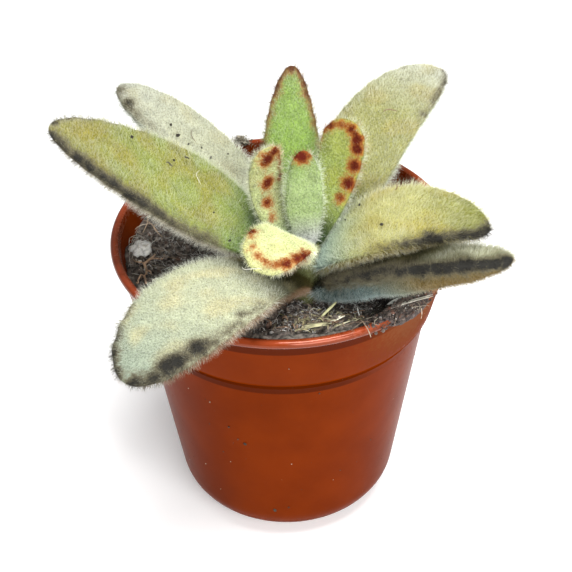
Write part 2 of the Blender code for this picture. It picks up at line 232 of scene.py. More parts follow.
@dataclass(frozen=True)
class Leaf:
    """Angles in degrees and lengths in millimetres, equal or close to the solid model's.

    heading is anticlockwise from +X, and rise and tip_rise are above the level, at either end.
    sweep is what the heading gains by the tip. roll lifts the edge on the right hand of someone
    walking out to the tip. widest is a share of the length, base_width a share of the width. A
    higher tip_power gives a blunter tip, cupping lifts the edges, teeth counts the waves in the
    outer half of a margin, and seat is the base's distance from the stem's axis where it isn't
    the usual gap.
    """
    base_height: float
    heading: float
    rise: float
    tip_rise: float
    sweep: float
    length: float
    width: float
    thickness: float
    roll: float
    widest: float
    tip_power: float
    base_width: float
    cupping: float
    teeth: int
    seat: float = None


LEAVES = {
    "leaf_right_lower": Leaf(48.6, -36, 39, 17.5, 11, 35.0, 13.2, 5.3, 18, 0.48, 2.2, 0.50, 0.06, 5),
    "leaf_back_left": Leaf(48.4, 124, 33, 18, 27, 43.0, 10.2, 4.6, -2, 0.63, 2.2, 0.33, 0.04, 6),
    "leaf_front_left": Leaf(49.8, -129, 45, -28, -2, 42.0, 16.5, 4.8, 0, 0.61, 2.1, 0.29, 0.06, 6),
    "leaf_back_right": Leaf(49.6, 67, 43, -8, -15, 45.0, 13.5, 4.5, 0, 0.47, 2.5, 0.33, 0.07, 6),
    "leaf_right_upper": Leaf(52.3, -7, 53, -26, 10, 28.5, 15.1, 4.9, 0, 0.43, 1.9, 0.35, 0.10, 5),
    "leaf_left": Leaf(51.2, 168, 38, 29, 13, 43.5, 16.5, 4.5, 6, 0.49, 1.6, 0.20, 0.10, 6),
    "leaf_back_centre": Leaf(52.9, 102, 38, 46, -18, 29.2, 8.6, 3.2, 0, 0.60, 1.15, 0.32, 0.0, 5),
    "leaf_inner_front": Leaf(54.7, -118, 88, -45, 0, 15.0, 9.7, 2.8, 8, 0.55, 2.5, 0.55, 0.05, 3,
                             seat=3.6),
    "leaf_inner_left": Leaf(54.5, 158, 45, 112, -30, 18.5, 6.2, 2.1, 8, 0.60, 2.5, 0.62, -0.04, 4,
                            seat=2.2),
    "leaf_inner_right": Leaf(54.5, 51.5, 45, 73, 15, 19.5, 7.6, 2.4, 5, 0.75, 2.4, 0.42, 0.06, 4,
                             seat=2.2),
    "leaf_inner_centre": Leaf(55.0, 98, 80, 88, 0, 16.0, 5.7, 2.1, 0, 0.48, 2.0, 0.55, 0.05, 4,
                              seat=0.2),
}

STEM_FOOT = np.array([4.2, -9.4, 47.2]) * MM        # where the stem leaves the peat
STEM_TOP = np.array([3.7, -8.1, 53.6]) * MM
STEM_RADIUS_FOOT = 3.0 * MM
STEM_RADIUS_TOP = 1.8 * MM
BASE_GAP = 0.45 * MM        # between the stem and a leaf's base
BASE_CAP = 0.04             # share of the length in which the base rounds off
BASE_DEPTH = 0.6            # least depth of a leaf's base, as a share of its thickness
UPPER_SHARE = 0.35          # of the thickness lies above the plane of the edges
EDGE_FULLNESS = 0.9         # below 1 makes the edges rounder
TOOTH_DEPTH = 0.03          # of the half width
FOOT_REACH = 1.3 * MM       # how far a leaf's base grows back into the stem
FOOT_SHARE = 0.10           # of the leaf takes part in that
UNEVEN = 0.13 * MM          # height of the gentle bumps of the blade
UNEVEN_SIZE = 7.0 * MM
MIDRIB_STATIONS = 161
NORMAL_STEP = 1e-3          # in share and in angle, to measure slopes
print(len(LEAVES), "leaves, the longest of", max(leaf.length for leaf in LEAVES.values()), "mm")

# %% The surface of a leaf


def stem_axis(height):
    """Point of the stem's axis at a height."""
    return STEM_FOOT + (STEM_TOP - STEM_FOOT) * (height - STEM_FOOT[2]) / (STEM_TOP[2] - STEM_FOOT[2])


def stem_radius(height):
    """Thins evenly from the foot to the top."""
    share = np.clip((height - STEM_FOOT[2]) / (STEM_TOP[2] - STEM_FOOT[2]), 0.0, 1.0)
    return STEM_RADIUS_FOOT + (STEM_RADIUS_TOP - STEM_RADIUS_FOOT) * share


def bearing(heading, rise):
    """Unit vector from a heading and a rise: cosine of rise shared out by the heading, then sine."""
    return np.stack([np.cos(rise) * np.cos(heading), np.cos(rise) * np.sin(heading), np.sin(rise)], -1)


def outline(share, leaf, base_width):
    """Half width, 1 at its widest: a sine swell from the base, then a round tip."""
    swell = base_width + (1.0 - base_width) * np.sin(np.pi / 2 * np.clip(share / leaf.widest, 0, 1))
    beyond = np.clip((share - leaf.widest) / (1.0 - leaf.widest), 0, 1)
    close = np.sqrt(np.clip(1.0 - beyond ** leaf.tip_power, 0, 1))
    cap = np.sqrt(np.clip(1.0 - (1.0 - np.clip(share / BASE_CAP, 0, 1)) ** 2, 0, 1))
    return np.where(share < leaf.widest, swell, close) * cap


def midrib(leaf, share):
    """Point, heading and rise on the arc from the stem to the tip: the sum of short steps."""
    fine = np.linspace(0.0, 1.0, MIDRIB_STATIONS)
    heading = np.radians(leaf.heading + leaf.sweep * fine)
    rise = np.radians(leaf.rise + (leaf.tip_rise - leaf.rise) * fine)
    way = bearing(heading, rise)
    steps = (way[1:] + way[:-1]) / 2 * leaf.length * MM / (len(fine) - 1)
    run = np.vstack([np.zeros(3), np.cumsum(steps, axis=0)])
    height = leaf.base_height * MM
    away = stem_radius(height) + BASE_GAP if leaf.seat is None else leaf.seat * MM
    outwards = np.array([math.cos(heading[0]), math.sin(heading[0]), 0.0])
    start = stem_axis(height) + away * outwards
    point = np.stack([np.interp(share, fine, run[:, i]) for i in range(3)], -1) + start
    return point, np.interp(share, fine, heading), np.interp(share, fine, rise)


def leaf_frame(leaf, share):
    """Midrib point and the ways along, across to the right edge, and up from the blade."""
    point, heading, rise = midrib(leaf, share)
    along = bearing(heading, rise)
    right = np.stack([np.sin(heading), -np.cos(heading), np.zeros_like(heading)], -1)
    over = np.stack([-np.sin(rise) * np.cos(heading), -np.sin(rise) * np.sin(heading), np.cos(rise)], -1)
    tilt = math.radians(leaf.roll)
    across = right * math.cos(tilt) + over * math.sin(tilt)
    up = over * math.cos(tilt) - right * math.sin(tilt)
    return point, along, across, up


def leaf_surface(leaf, share, angle, seed=0):
    """Almond section round the midrib; angle 0 is the right edge and 90 degrees is the top.

    The point is the midrib's, plus half width times cos(angle) across, plus depth times
    sin(angle) up. Teeth widen and narrow it, noise bends it, and the base grows backwards.
    """
    point, along, across, up = leaf_frame(leaf, share)
    half = outline(share, leaf, leaf.base_width) * leaf.width / 2 * MM
    outer = np.clip(share * 2.0 - 0.9, 0.0, 1.0)
    half = half * (1.0 + TOOTH_DEPTH * outer * np.cos(4 * np.pi * leaf.teeth * share))
    deep = outline(share, leaf, max(leaf.base_width, BASE_DEPTH)) * leaf.thickness * MM
    side = np.sign(np.cos(angle)) * np.abs(np.cos(angle)) ** EDGE_FULLNESS
    lift = np.where(np.sin(angle) > 0, UPPER_SHARE, 1.0 - UPPER_SHARE) * np.sin(angle)
    z = deep * lift + leaf.cupping * half * side ** 2
    place = point + across * (half * side)[..., None] + up * z[..., None]
    uneven = soft_noise(place, UNEVEN_SIZE, seed + 11) * UNEVEN * np.clip(share * 8, 0, 1)
    place = place + up * (uneven * np.sign(np.sin(angle)) * np.abs(np.sin(angle)))[..., None]
    back = np.clip(1.0 - share / FOOT_SHARE, 0.0, 1.0) ** 2 * FOOT_REACH
    return place - along * back[..., None]


def leaf_normals(leaf, share, angle, seed=0):
    """Outward unit normals, from small steps along and round, and the area of such a step."""
    before, after = np.clip(share - NORMAL_STEP, 0, 1), np.clip(share + NORMAL_STEP, 0, 1)
    along = leaf_surface(leaf, after, angle, seed) - leaf_surface(leaf, before, angle, seed)
    round_it = (leaf_surface(leaf, share, angle + NORMAL_STEP, seed)
                - leaf_surface(leaf, share, angle - NORMAL_STEP, seed))
    normal = np.cross(along, round_it)
    return unit(normal), np.linalg.norm(normal, axis=-1)


middle = leaf_surface(LEAVES["leaf_left"], np.array([0.5]), np.array([np.pi / 2]))[0]
print("middle of the left leaf, mm:", (middle / MM).round(1))

# %% [markdown]
# ## Marks and tones of the leaves
#
# On the real plant the brown hairs stand in dots along the outer margins, which run together
# into a line on old leaves. So a leaf's look is a short list of dots, each given by its place
# on the leaf, its radius and its strength, and a line is a row of such dots. The green itself
# goes from a silver-blue base through the middle tone to the tip, with a different tone below.

# %% Looks of the eleven leaves


@dataclass(frozen=True)
class Look:
    """Linear colours, and marks as (share, angle, radius in mm, strength).

    lines holds (angle, from share, to share, radius in mm, first strength, last strength).
    stops are the shares where base, middle, middle and tip tones stand, patch is the tone of
    soft spots on the upper side, and shades hold painted shade: soft darker places (share, angle,
    radius in mm, strength) where leaves crowd together and shade one another. hair is the hairs'
    length in mm, skin the brightness of the skin between them, and frost how white their ends are.
    """
    base: tuple
    middle: tuple
    tip: tuple
    under: tuple
    under_tip: tuple = None
    marks: tuple = ()
    lines: tuple = ()
    ink: str = "charcoal"
    hair: float = 0.85
    patch: tuple = (0.62, 0.52, 0.16)
    stops: tuple = (0.06, 0.34, 0.62, 1.0)
    painted_shades: tuple = ()
    skin: float = 0.48
    frost: float = 0.62


LOOKS = {
    "leaf_right_lower": Look(
        # painted shade: the near-black base and middle of the upper side, held to share 0.60 by stops, the
        # dark patch tone and the shades stand for the shade under leaf_right_upper
        base=(0.012, 0.012, 0.006), middle=(0.03, 0.028, 0.012), tip=(0.58, 0.58, 0.40),
        under=(0.30, 0.40, 0.39), under_tip=(0.27, 0.205, 0.08), stops=(0.10, 0.42, 0.60, 0.88),
        lines=((18, 0.20, 0.62, 1.6, 0.85, 0.95), (14, 0.62, 1.0, 1.45, 1.0, 1.15),
               (36, 0.14, 0.62, 1.7, 0.6, 0.7), (36, 0.62, 0.85, 1.2, 0.45, 0.3),
               (2, 0.16, 0.60, 1.1, 0.7, 0.65)),
        marks=((0.985, 70, 1.5, 0.8),), hair=0.9, patch=(0.10, 0.09, 0.035),
        painted_shades=((0.20, 46, 4.0, 0.65), (0.36, 38, 3.8, 0.65), (0.52, 32, 3.0, 0.45)), frost=0.58),
    "leaf_back_left": Look(
        base=(0.92, 0.96, 0.80), middle=(0.71, 0.72, 0.57), tip=(0.66, 0.67, 0.58),
        under=(0.64, 0.68, 0.60),
        lines=((154, 0.66, 0.92, 0.9, 0.2, 0.6), (186, 0.86, 0.99, 0.9, 0.4, 0.6)),
        marks=((0.98, 130, 1.6, 0.6), (0.913, 142, 1.4, 0.8), (0.97, 186, 1.2, 0.6)),
        hair=0.75, patch=(0.64, 0.62, 0.45), skin=0.58, frost=0.68),
    "leaf_front_left": Look(
        # painted shade: the near-black base tone, held to share 0.27 by stops, and the shades stand for the
        # shade of the inner leaves over the base
        base=(0.05, 0.045, 0.015), middle=(0.72, 0.74, 0.57), tip=(0.45, 0.51, 0.43),
        under=(0.25, 0.165, 0.10),
        lines=((158, 0.40, 0.76, 1.1, 0.45, 0.65), (148, 0.74, 0.99, 1.7, 0.62, 0.80),
               (178, 0.88, 1.0, 1.4, 0.5, 0.75), (16, 0.76, 1.0, 1.3, 0.5, 0.9)),
        marks=((0.885, 139, 1.9, 1.05), (0.855, 143, 1.8, 1.05), (0.775, 147, 1.8, 1.0),
               (0.745, 150, 1.6, 0.75), (0.985, 132, 1.9, 0.85), (0.985, 60, 1.5, 0.45)),
        hair=0.72, patch=(0.78, 0.72, 0.47), stops=(0.27, 0.46, 0.62, 1.0),
        painted_shades=((0.30, 160, 5.0, 0.55), (0.20, 110, 5.0, 0.5)), skin=0.64, frost=0.70),
    "leaf_back_right": Look(
        base=(0.32, 0.37, 0.17), middle=(0.54, 0.54, 0.27), tip=(0.78, 0.79, 0.68),
        under=(0.54, 0.58, 0.46),
        lines=((13, 0.76, 0.98, 0.95, 0.55, 0.75), (16, 0.45, 0.76, 0.7, 0.2, 0.4),
               (150, 0.84, 0.99, 0.7, 0.15, 0.3)),
        marks=((0.682, 20, 1.1, 0.6), (0.886, 142, 0.6, 0.6), (0.975, 20, 1.1, 0.75)),
        hair=0.75, patch=(0.58, 0.52, 0.24), skin=0.52, frost=0.68),
    "leaf_right_upper": Look(
        base=(0.70, 0.84, 0.74), middle=(0.82, 0.80, 0.42), tip=(0.35, 0.36, 0.10),
        under=(0.70, 0.60, 0.26),
        lines=((14, 0.34, 0.60, 0.9, 0.3, 0.8), (10, 0.60, 0.99, 1.3, 0.9, 1.1)),
        marks=((0.985, 90, 1.1, 0.8), (0.98, 20, 1.6, 1.1), (0.94, 150, 0.7, 0.4)), hair=1.05,
        patch=(0.68, 0.59, 0.13), skin=0.52, stops=(0.06, 0.34, 0.52, 0.88)),
    "leaf_left": Look(
        base=(0.42, 0.70, 0.36), middle=(0.56, 0.62, 0.22), tip=(0.56, 0.53, 0.24),
        under=(0.96, 0.90, 0.74),
        lines=((172, 0.30, 0.66, 1.3, 0.5, 0.9), (172, 0.66, 0.97, 1.4, 0.82, 1.0),
               (14, 0.76, 0.99, 0.8, 0.45, 0.75), (14, 0.60, 0.74, 0.6, 0.2, 0.45)),
        marks=((0.985, 200, 1.3, 0.95), (0.985, 60, 0.9, 0.75)), hair=0.9,
        patch=(0.58, 0.50, 0.13), skin=0.42, frost=0.76),
    "leaf_back_centre": Look(
        base=(0.86, 1.0, 0.44), middle=(0.62, 0.82, 0.29), tip=(0.52, 0.64, 0.30),
        under=(0.44, 0.56, 0.30),
        lines=((170, 0.48, 0.99, 1.0, 0.3, 0.98), (10, 0.48, 0.99, 1.0, 0.3, 0.98)),
        marks=((0.985, 90, 1.3, 0.9),), ink="brown", hair=0.8, patch=(0.52, 0.70, 0.20),
        stops=(0.22, 0.44, 0.62, 1.0), skin=0.40, frost=0.65),
    "leaf_inner_front": Look(
        base=(0.56, 0.66, 0.42), middle=(0.77, 0.80, 0.50), tip=(0.75, 0.76, 0.46),
        under=(0.90, 0.90, 0.66),
        lines=((52, 0.60, 0.84, 0.75, 0.4, 0.35), (154, 0.58, 0.84, 1.0, 0.55, 0.5)),
        marks=((0.64, 24, 0.95, 0.9), (0.70, 36, 0.8, 0.55), (0.79, 54, 0.8, 0.55),
               (0.85, 70, 0.95, 0.62), (0.885, 92, 0.95, 0.62), (0.875, 114, 0.95, 0.65),
               (0.87, 81, 0.8, 0.55), (0.885, 103, 0.8, 0.55), (0.855, 125, 0.9, 0.65),
               (0.825, 136, 1.2, 0.9), (0.73, 154, 1.2, 0.9), (0.64, 172, 1.3, 1.0),
               (0.56, 186, 1.0, 0.8)),
        ink="rust", hair=0.6, patch=(0.78, 0.77, 0.42), skin=0.78, frost=0.48),
    "leaf_inner_left": Look(
        base=(0.66, 0.76, 0.52), middle=(0.72, 0.77, 0.46), tip=(0.72, 0.74, 0.40),
        under=(0.80, 0.84, 0.62),
        lines=((98, 0.28, 0.60, 0.7, 0.4, 0.25), (34, 0.56, 0.96, 0.8, 0.4, 0.6)),
        marks=((0.873, 95, 1.5, 1.0), (0.935, 60, 1.2, 0.95), (0.94, 130, 0.9, 0.6),
               (0.63, 94, 1.3, 1.0), (0.445, 106, 1.15, 0.85), (0.60, 32, 0.9, 0.85),
               (0.30, 112, 0.9, 0.6)),
        ink="rust", hair=0.7, patch=(0.72, 0.70, 0.40), skin=0.58, frost=0.66),
    "leaf_inner_right": Look(
        base=(0.10, 0.14, 0.07), middle=(0.70, 0.80, 0.31), tip=(0.72, 0.76, 0.29),
        under=(0.56, 0.62, 0.42),
        lines=((44, 0.34, 0.92, 0.6, 0.15, 0.3), (170, 0.72, 0.99, 0.6, 0.2, 0.35)),
        marks=((0.886, 172, 0.9, 0.75), (0.92, 146, 1.0, 0.85), (0.94, 124, 0.8, 0.6),
               (0.955, 104, 0.9, 0.7), (0.95, 86, 0.8, 0.65), (0.935, 66, 1.1, 0.85),
               (0.90, 54, 0.9, 0.8), (0.86, 47, 1.2, 1.0), (0.79, 43, 1.2, 1.0),
               (0.655, 40, 1.3, 1.0), (0.504, 41, 1.3, 1.0), (0.375, 52, 1.1, 0.75),
               (0.80, 176, 0.8, 0.55), (0.72, 178, 0.7, 0.45)),
        ink="rust", hair=0.7, patch=(0.70, 0.72, 0.22), skin=0.46, frost=0.68),
    "leaf_inner_centre": Look(
        base=(0.98, 1.0, 0.95), middle=(0.80, 0.95, 0.54), tip=(0.38, 0.52, 0.17),
        under=(0.66, 0.74, 0.56),
        marks=((0.955, 100, 1.35, 1.0), (0.955, 150, 1.0, 0.9), (0.95, 52, 0.8, 0.7)),
        ink="rust", hair=0.75, patch=(0.78, 0.90, 0.50), skin=0.46, frost=0.72),
}
DOT_PITCH = 0.50            # of a dot's radius, between the dots of a line
DOT_DRIFT = (0.004, 5)      # of share and of angle in degrees, at random
DOT_SIZES = (0.8, 1.2)
DOT_STRENGTHS = (0.7, 1.15)
LAST_DOT = 0.995            # share
RAGGED = 0.15               # how far noise pulls a dot's edge in and out
EDGE_BLEND = (-0.22, 0.14)  # sines of the angle between which the under tone turns to the upper
UNDER_BLEND = [0.35, 0.65]  # shares between which under turns to under_tip


def all_marks(leaf, look, seed):
    """The dots of a leaf, those of its lines included: rows of (share, angle, radius, strength)."""
    rng = np.random.default_rng(seed)
    rows = [np.array(look.marks, float).reshape(-1, 4)]
    for angle, start, end, radius, first, last in look.lines:
        count = max(int((end - start) * leaf.length / (radius * DOT_PITCH)), 2)
        share = np.linspace(start, end, count) + rng.normal(0, DOT_DRIFT[0], count)
        strength = np.linspace(first, last, count) * rng.uniform(*DOT_STRENGTHS, count)
        rows.append(np.stack([np.clip(share, 0, LAST_DOT), angle + rng.normal(0, DOT_DRIFT[1], count),
                              radius * rng.uniform(*DOT_SIZES, count), strength], -1))
    rows = np.concatenate(rows)
    rows[:, 1] = np.radians(rows[:, 1])
    return rows


def mark_field(leaf, look, points, seed):
    """Largest of the dots' bumps strength * exp(-(distance / radius) ** 1.8), ragged by noise."""
    dots = all_marks(leaf, look, seed)
    if not len(dots):
        return np.zeros(len(points))
    centre = leaf_surface(leaf, dots[:, 0], dots[:, 1], seed)
    far = np.linalg.norm(points[:, None] - centre[None], axis=-1) / (dots[:, 2] * MM)
    far *= 1 + RAGGED * soft_noise(points, 0.9 * MM, seed + 8)[:, None]
    return (dots[:, 3] * np.exp(-far ** 1.8)).max(-1)


def tone_field(leaf, look, share, angle, points, seed):
    """Base to middle to tip above, the under tone below, soft patches over both, then painted shade."""
    above = [np.interp(share, look.stops, row) for row in zip(look.base, look.middle, look.middle, look.tip)]
    below = [np.interp(share, UNDER_BLEND, row) for row in zip(look.under, look.under_tip or look.under)]
    top = smooth_step(*EDGE_BLEND, np.sin(angle))[:, None]
    tone = np.stack(below, -1) * (1 - top) + np.stack(above, -1) * top
    patch = smooth_step(-0.1, 1.1, soft_noise(points, 6 * MM, seed + 5))[:, None] * 0.5
    patch *= smooth_step(0.15, 0.4, share)[:, None] * top
    tone = tone * (1 - patch) + np.array(look.patch) * patch
    # painted shade: each spot darkens the tone where leaves crowd together and shade one another
    for place, turn, radius, strength in look.painted_shades:
        centre = leaf_surface(leaf, np.array([place]), np.radians([turn]), seed)
        far = np.linalg.norm(points - centre, axis=-1) / (radius * MM)
        tone = tone * (1 - strength * np.exp(-far ** 2))[:, None]
    return tone * (1 + 0.08 * soft_noise(points, 2.5 * MM, seed + 6))[:, None]


for name, leaf in LEAVES.items():
    print(name, "has", len(all_marks(leaf, LOOKS[name], 1)), "dots")

# %% [markdown]
# ## Felt
#
# The felt is one finish on two kinds of geometry: the skin of the leaf and the hairs on it.
# Both read the same two attributes, the tone and the mark. A fine noise breaks up the edge of
# each mark, because real marks end hair by hair. An image could carry the marks, but it would
# need a flat map of each leaf, and attributes follow the mesh without one. First come a few
# helpers that keep every material short.

# %% Node helpers
BLACK = (0.0, 0.0, 0.0)


def start_material(name, roughness):
    """A Principled material and its tree."""
    made = bpy.data.materials.new(name)
    made.use_nodes = True
    shader = made.node_tree.nodes["Principled BSDF"]
    shader.inputs["Roughness"].default_value = roughness
    return made, made.node_tree, shader


def add_node(tree, kind, inputs=None, **settings):
    """A node with its settings; an input is a number, a colour or another node's output."""
    made = tree.nodes.new(kind)
    for key, value in settings.items():
        setattr(made, key, value)
    for key, value in (inputs or {}).items():
        if isinstance(value, bpy.types.NodeSocket):
            tree.links.new(value, made.inputs[key])
        else:
            made.inputs[key].default_value = value
    return made


def mix_colours(tree, share, first, second):
    """Colour from first at 0 to second at 1."""
    made = add_node(tree, "ShaderNodeMix", data_type="RGBA")
    for socket, value in ((made.inputs[0], share), (made.inputs[6], first), (made.inputs[7], second)):
        if isinstance(value, bpy.types.NodeSocket):
            tree.links.new(value, socket)
        elif isinstance(value, (int, float)):
            socket.default_value = value
        else:
            socket.default_value = (*value, 1.0)
    return made.outputs[2]


def ramp(tree, value, low, high, to_low=0.0, to_high=1.0):
    """Smooth step of a value between low and high."""
    made = add_node(tree, "ShaderNodeMapRange", {"Value": value, "From Min": low, "From Max": high,
                                                 "To Min": to_low, "To Max": to_high},
                    interpolation_type="SMOOTHSTEP")
    return made.outputs["Result"]


def combine(tree, operation, first, second):
    """A sum or a product of two values."""
    return add_node(tree, "ShaderNodeMath", {0: first, 1: second}, operation=operation).outputs[0]


def object_noise(tree, scale, detail=3.0):
    """Noise over Object coordinates; scale is in features per metre."""
    place = add_node(tree, "ShaderNodeTexCoord").outputs["Object"]
    return add_node(tree, "ShaderNodeTexNoise", {"Vector": place, "Scale": scale, "Detail": detail,
                                                 "Roughness": 0.55}).outputs["Fac"]


def roughen(tree, shader, height, strength, distance):
    """Bumps of the given height field, on the shader's normal."""
    bump = add_node(tree, "ShaderNodeBump", {"Height": height, "Strength": strength, "Distance": distance})
    tree.links.new(bump.outputs["Normal"], shader.inputs["Normal"])


def attribute(tree, name, output):
    """A named attribute of the mesh."""
    return add_node(tree, "ShaderNodeAttribute", attribute_name=name).outputs[output]


# %% Felt materials
INKS = {
    "charcoal": {"core": (0.024, 0.023, 0.020), "halo": (0.16, 0.14, 0.085)},
    "rust": {"core": (0.085, 0.009, 0.004), "halo": (0.36, 0.115, 0.022)},
    "brown": {"core": (0.085, 0.034, 0.016), "halo": (0.26, 0.15, 0.055)},
}
HALO_EDGE = (0.32, 0.92)    # of the mark's strength, where the halo fades in
CORE_EDGE = (0.55, 1.15)


def felt(name, ink, hairy):
    """Tone, then the mark's halo and core laid over it, edges broken by a fine noise."""
    made, tree, shader = start_material(name, 0.9)
    shader.inputs["Specular IOR Level"].default_value = 0.12
    tone = attribute(tree, "tone", "Color")
    if not hairy:
        fleck = ramp(tree, object_noise(tree, 3600.0), 0.35, 0.70, 0.0, 0.5)
        tone = mix_colours(tree, fleck, tone, BLACK)
        roughen(tree, shader, object_noise(tree, 3200.0, 2.0), 0.5, 0.1 * MM)
    broken = combine(tree, "MULTIPLY", object_noise(tree, 3800.0, 2.0), 0.5)
    mark = combine(tree, "ADD", attribute(tree, "mark", "Fac"), broken)
    halo = mix_colours(tree, ramp(tree, mark, *HALO_EDGE), tone, INKS[ink]["halo"])
    core = mix_colours(tree, ramp(tree, mark, *CORE_EDGE), halo, INKS[ink]["core"])
    tree.links.new(core, shader.inputs["Base Color"])
    return made


FELT_SKIN = {ink: felt("felt_skin_" + ink, ink, False) for ink in INKS}
FELT_HAIR = {ink: felt("felt_hair_" + ink, ink, True) for ink in INKS}
print("felt materials:", sorted(m.name for m in [*FELT_SKIN.values(), *FELT_HAIR.values()]))

# %% [markdown]
# ## Leaf skins
#
# A leaf's skin could be a subdivided box pulled into shape, but its poles and edges are easier
# to place as a closed grid: sections along the leaf, closer together at both ends, and places
# round each section. It replaces the plain solid of its leaf.

# %% Make the leaf skins
SKIN_RINGS = 72
SKIN_SIDES = 40


def rich(tone, power=1.5):
    """A deeper colour: most * (channel / most) ** power, where most is the brightest channel."""
    most = tone.max(-1, keepdims=True)
    return most * (tone / most) ** power


def make_skin(name, leaf, look, seed):
    """Grid of share (cosine spaced) and angle over the leaf's surface."""
    share = (0.5 - 0.5 * np.cos(np.pi * np.linspace(0.0, 1.0, SKIN_RINGS + 2)))[1:-1]
    angle = -full_turn(SKIN_SIDES)
    s, a = (grid.ravel() for grid in np.meshgrid(share, angle, indexing="ij"))
    s = np.concatenate([[0.0], s, [1.0]])
    a = np.concatenate([[0.0], a, [0.0]])
    points = leaf_surface(leaf, s, a, seed)
    faces, uv = closed_grid(SKIN_RINGS, SKIN_SIDES)
    return add_piece(name + "_skin", points, faces, FELT_SKIN[look.ink], (name,),
                     {"tone": rich(tone_field(leaf, look, s, a, points, seed)) * look.skin,
                      "mark": mark_field(leaf, look, points, seed)}, uv)


for seed, (name, leaf) in enumerate(LEAVES.items()):
    make_skin(name, leaf, LOOKS[name], seed)
    print(name, TRIANGLES[name + "_skin"], "triangles")

# %% [markdown]
# ## Hairs
#
# Blender can grow hair with a particle system, but those hairs are lost when the model is
# exported. So each hair here is a real closed needle: a small triangle at the root and one
# point at the tip, which fades to wool white. Roots are spread evenly over the area of the
# leaf, and each hair leans from the surface's normal towards the leaf's tip, with some
# disorder. Hairs are longest along the two edges, where they show as a pale fringe.

# %% Needles and where they stand
HAIR_WIDTH = 0.046 * MM
HAIR_SUNK = 0.05 * MM
HAIR_LEAN = 0.85            # most of the lean towards the tip, against the normal
HAIR_DISORDER = 0.36
HAIR_SHADE = 1.25           # brightness of a hair's root against the skin
HAIRS_BELOW = 0.7           # hairs on the underside against the upper side
RIM_FROST = 0.30            # more wool white along both edges
WHITEST = 0.95
WOOL = np.array([0.86, 0.88, 0.82])


def needles(roots, ways, lengths, width):
    """Points (n, 4, 3): three round each root, square to the way, and root + way * length."""
    helper = np.where(np.abs(ways[:, 2:3]) < 0.9, [[0.0, 0.0, 1.0]], [[1.0, 0.0, 0.0]])
    first = unit(np.cross(ways, helper))
    second = np.cross(ways, first)
    turn = np.array([0.0, 2.0, 4.0]) * np.pi / 3
    ring = (roots[:, None] + width[:, None, None] / 2
            * (np.cos(turn)[None, :, None] * first[:, None] + np.sin(turn)[None, :, None] * second[:, None]))
    tip = roots + ways * lengths[:, None]
    return np.concatenate([ring, tip[:, None]], axis=1)


def needle_faces(count):
    """Three sides and a base for each needle."""
    shape = np.array([[0, 1, 3], [1, 2, 3], [2, 0, 3], [0, 2, 1]])
    return (np.arange(count)[:, None, None] * 4 + shape).reshape(-1, 3)


def needle_map(count):
    """Each needle has its own small cell of a square map, its faces side by side in it."""
    across = math.ceil(math.sqrt(count))
    index = np.arange(count)
    corner = np.stack([index % across, index // across], -1)[:, None, None]
    faces = np.array([[[0.05, 0.2], [0.30, 0.2], [0.17, 0.95]], [[0.37, 0.2], [0.62, 0.2], [0.5, 0.95]],
                      [[0.69, 0.2], [0.94, 0.2], [0.82, 0.95]], [[0.1, 0.02], [0.5, 0.12], [0.9, 0.02]]])
    return ((corner + faces) / across).reshape(-1, 2)


def scatter(leaf, count, seed):
    """Random (share, angle), as dense everywhere on the area; thinner on the underside.

    Far more places are drawn than needed, and each is kept with a chance equal to its area.
    """
    rng = np.random.default_rng(seed)
    share = rng.uniform(0.0, 1.0, count * 6)
    angle = rng.uniform(-np.pi, np.pi, count * 6)
    area = leaf_normals(leaf, share, angle, 0)[1]
    area = np.minimum(area, np.quantile(area, 0.995))
    area *= np.where(np.sin(angle) > -0.3, 1.0, HAIRS_BELOW)
    keep = rng.uniform(0, area.max(), count * 6) < area
    chosen = np.flatnonzero(keep)[:count]
    chosen = chosen[np.argsort(share[chosen])]
    return share[chosen], angle[chosen], rng


def make_hairs(name, leaf, look, seed, count):
    """Hairs lean from the normal towards the leaf's tip by a random amount."""
    share, angle, rng = scatter(leaf, count, 100 + seed)
    count = len(share)
    at_edge = np.abs(np.cos(angle))
    root = leaf_surface(leaf, share, angle, seed)
    normal = leaf_normals(leaf, share, angle, seed)[0]
    along = leaf_frame(leaf, share)[1]
    lean = along * rng.uniform(0.0, HAIR_LEAN, (count, 1))
    way = unit(normal + lean + rng.normal(0, HAIR_DISORDER, (count, 3)))
    length = look.hair * MM * rng.uniform(0.45, 1.45, count) * (0.70 + 0.75 * at_edge ** 2)
    width = HAIR_WIDTH * rng.uniform(0.75, 1.25, count)
    points = needles(root - normal * HAIR_SUNK, way, length + HAIR_SUNK, width).reshape(-1, 3)
    tone = tone_field(leaf, look, share, angle, root, seed)
    frost = look.frost + RIM_FROST * at_edge[:, None] ** 3
    wool = frost * smooth_step(0.04, 0.45, tone.mean(-1, keepdims=True)) * rng.uniform(0.5, 1.3, (count, 1))
    wool = np.minimum(wool, WHITEST)
    tips = np.minimum(rich(tone, 1.15) * 1.12, WHITEST) * (1 - wool) + WOOL * wool
    tone = np.repeat((rich(tone) * look.skin * HAIR_SHADE)[:, None], 4, 1)
    tone[:, 3] = tips
    mark = mark_field(leaf, look, root, seed) * rng.uniform(0.60, 1.2, count)
    return add_piece(name + "_hairs", points, [needle_faces(count)], FELT_HAIR[look.ink], (),
                     {"tone": tone.reshape(-1, 3), "mark": np.repeat(mark, 4)}, needle_map(count), False)


print("needles for 3 hairs have", len(needle_faces(3)), "faces")

# %% Grow the hairs
HAIR_BUDGET = 165000        # for all leaves together, shared out by area
AREA_GRID = (60, 48)        # stations along and round, to measure a leaf's area


def leaf_area(leaf):
    """Sum of the area elements over an even grid, in square millimetres."""
    along, round_it = AREA_GRID
    share, angle = (grid.ravel() for grid in np.meshgrid(np.linspace(0, 1, along),
                                                         np.linspace(-np.pi, np.pi, round_it)))
    elements = leaf_normals(leaf, share, angle)[1] / (2 * NORMAL_STEP) ** 2
    return elements.sum() * (1 / along) * (2 * np.pi / round_it) / MM ** 2


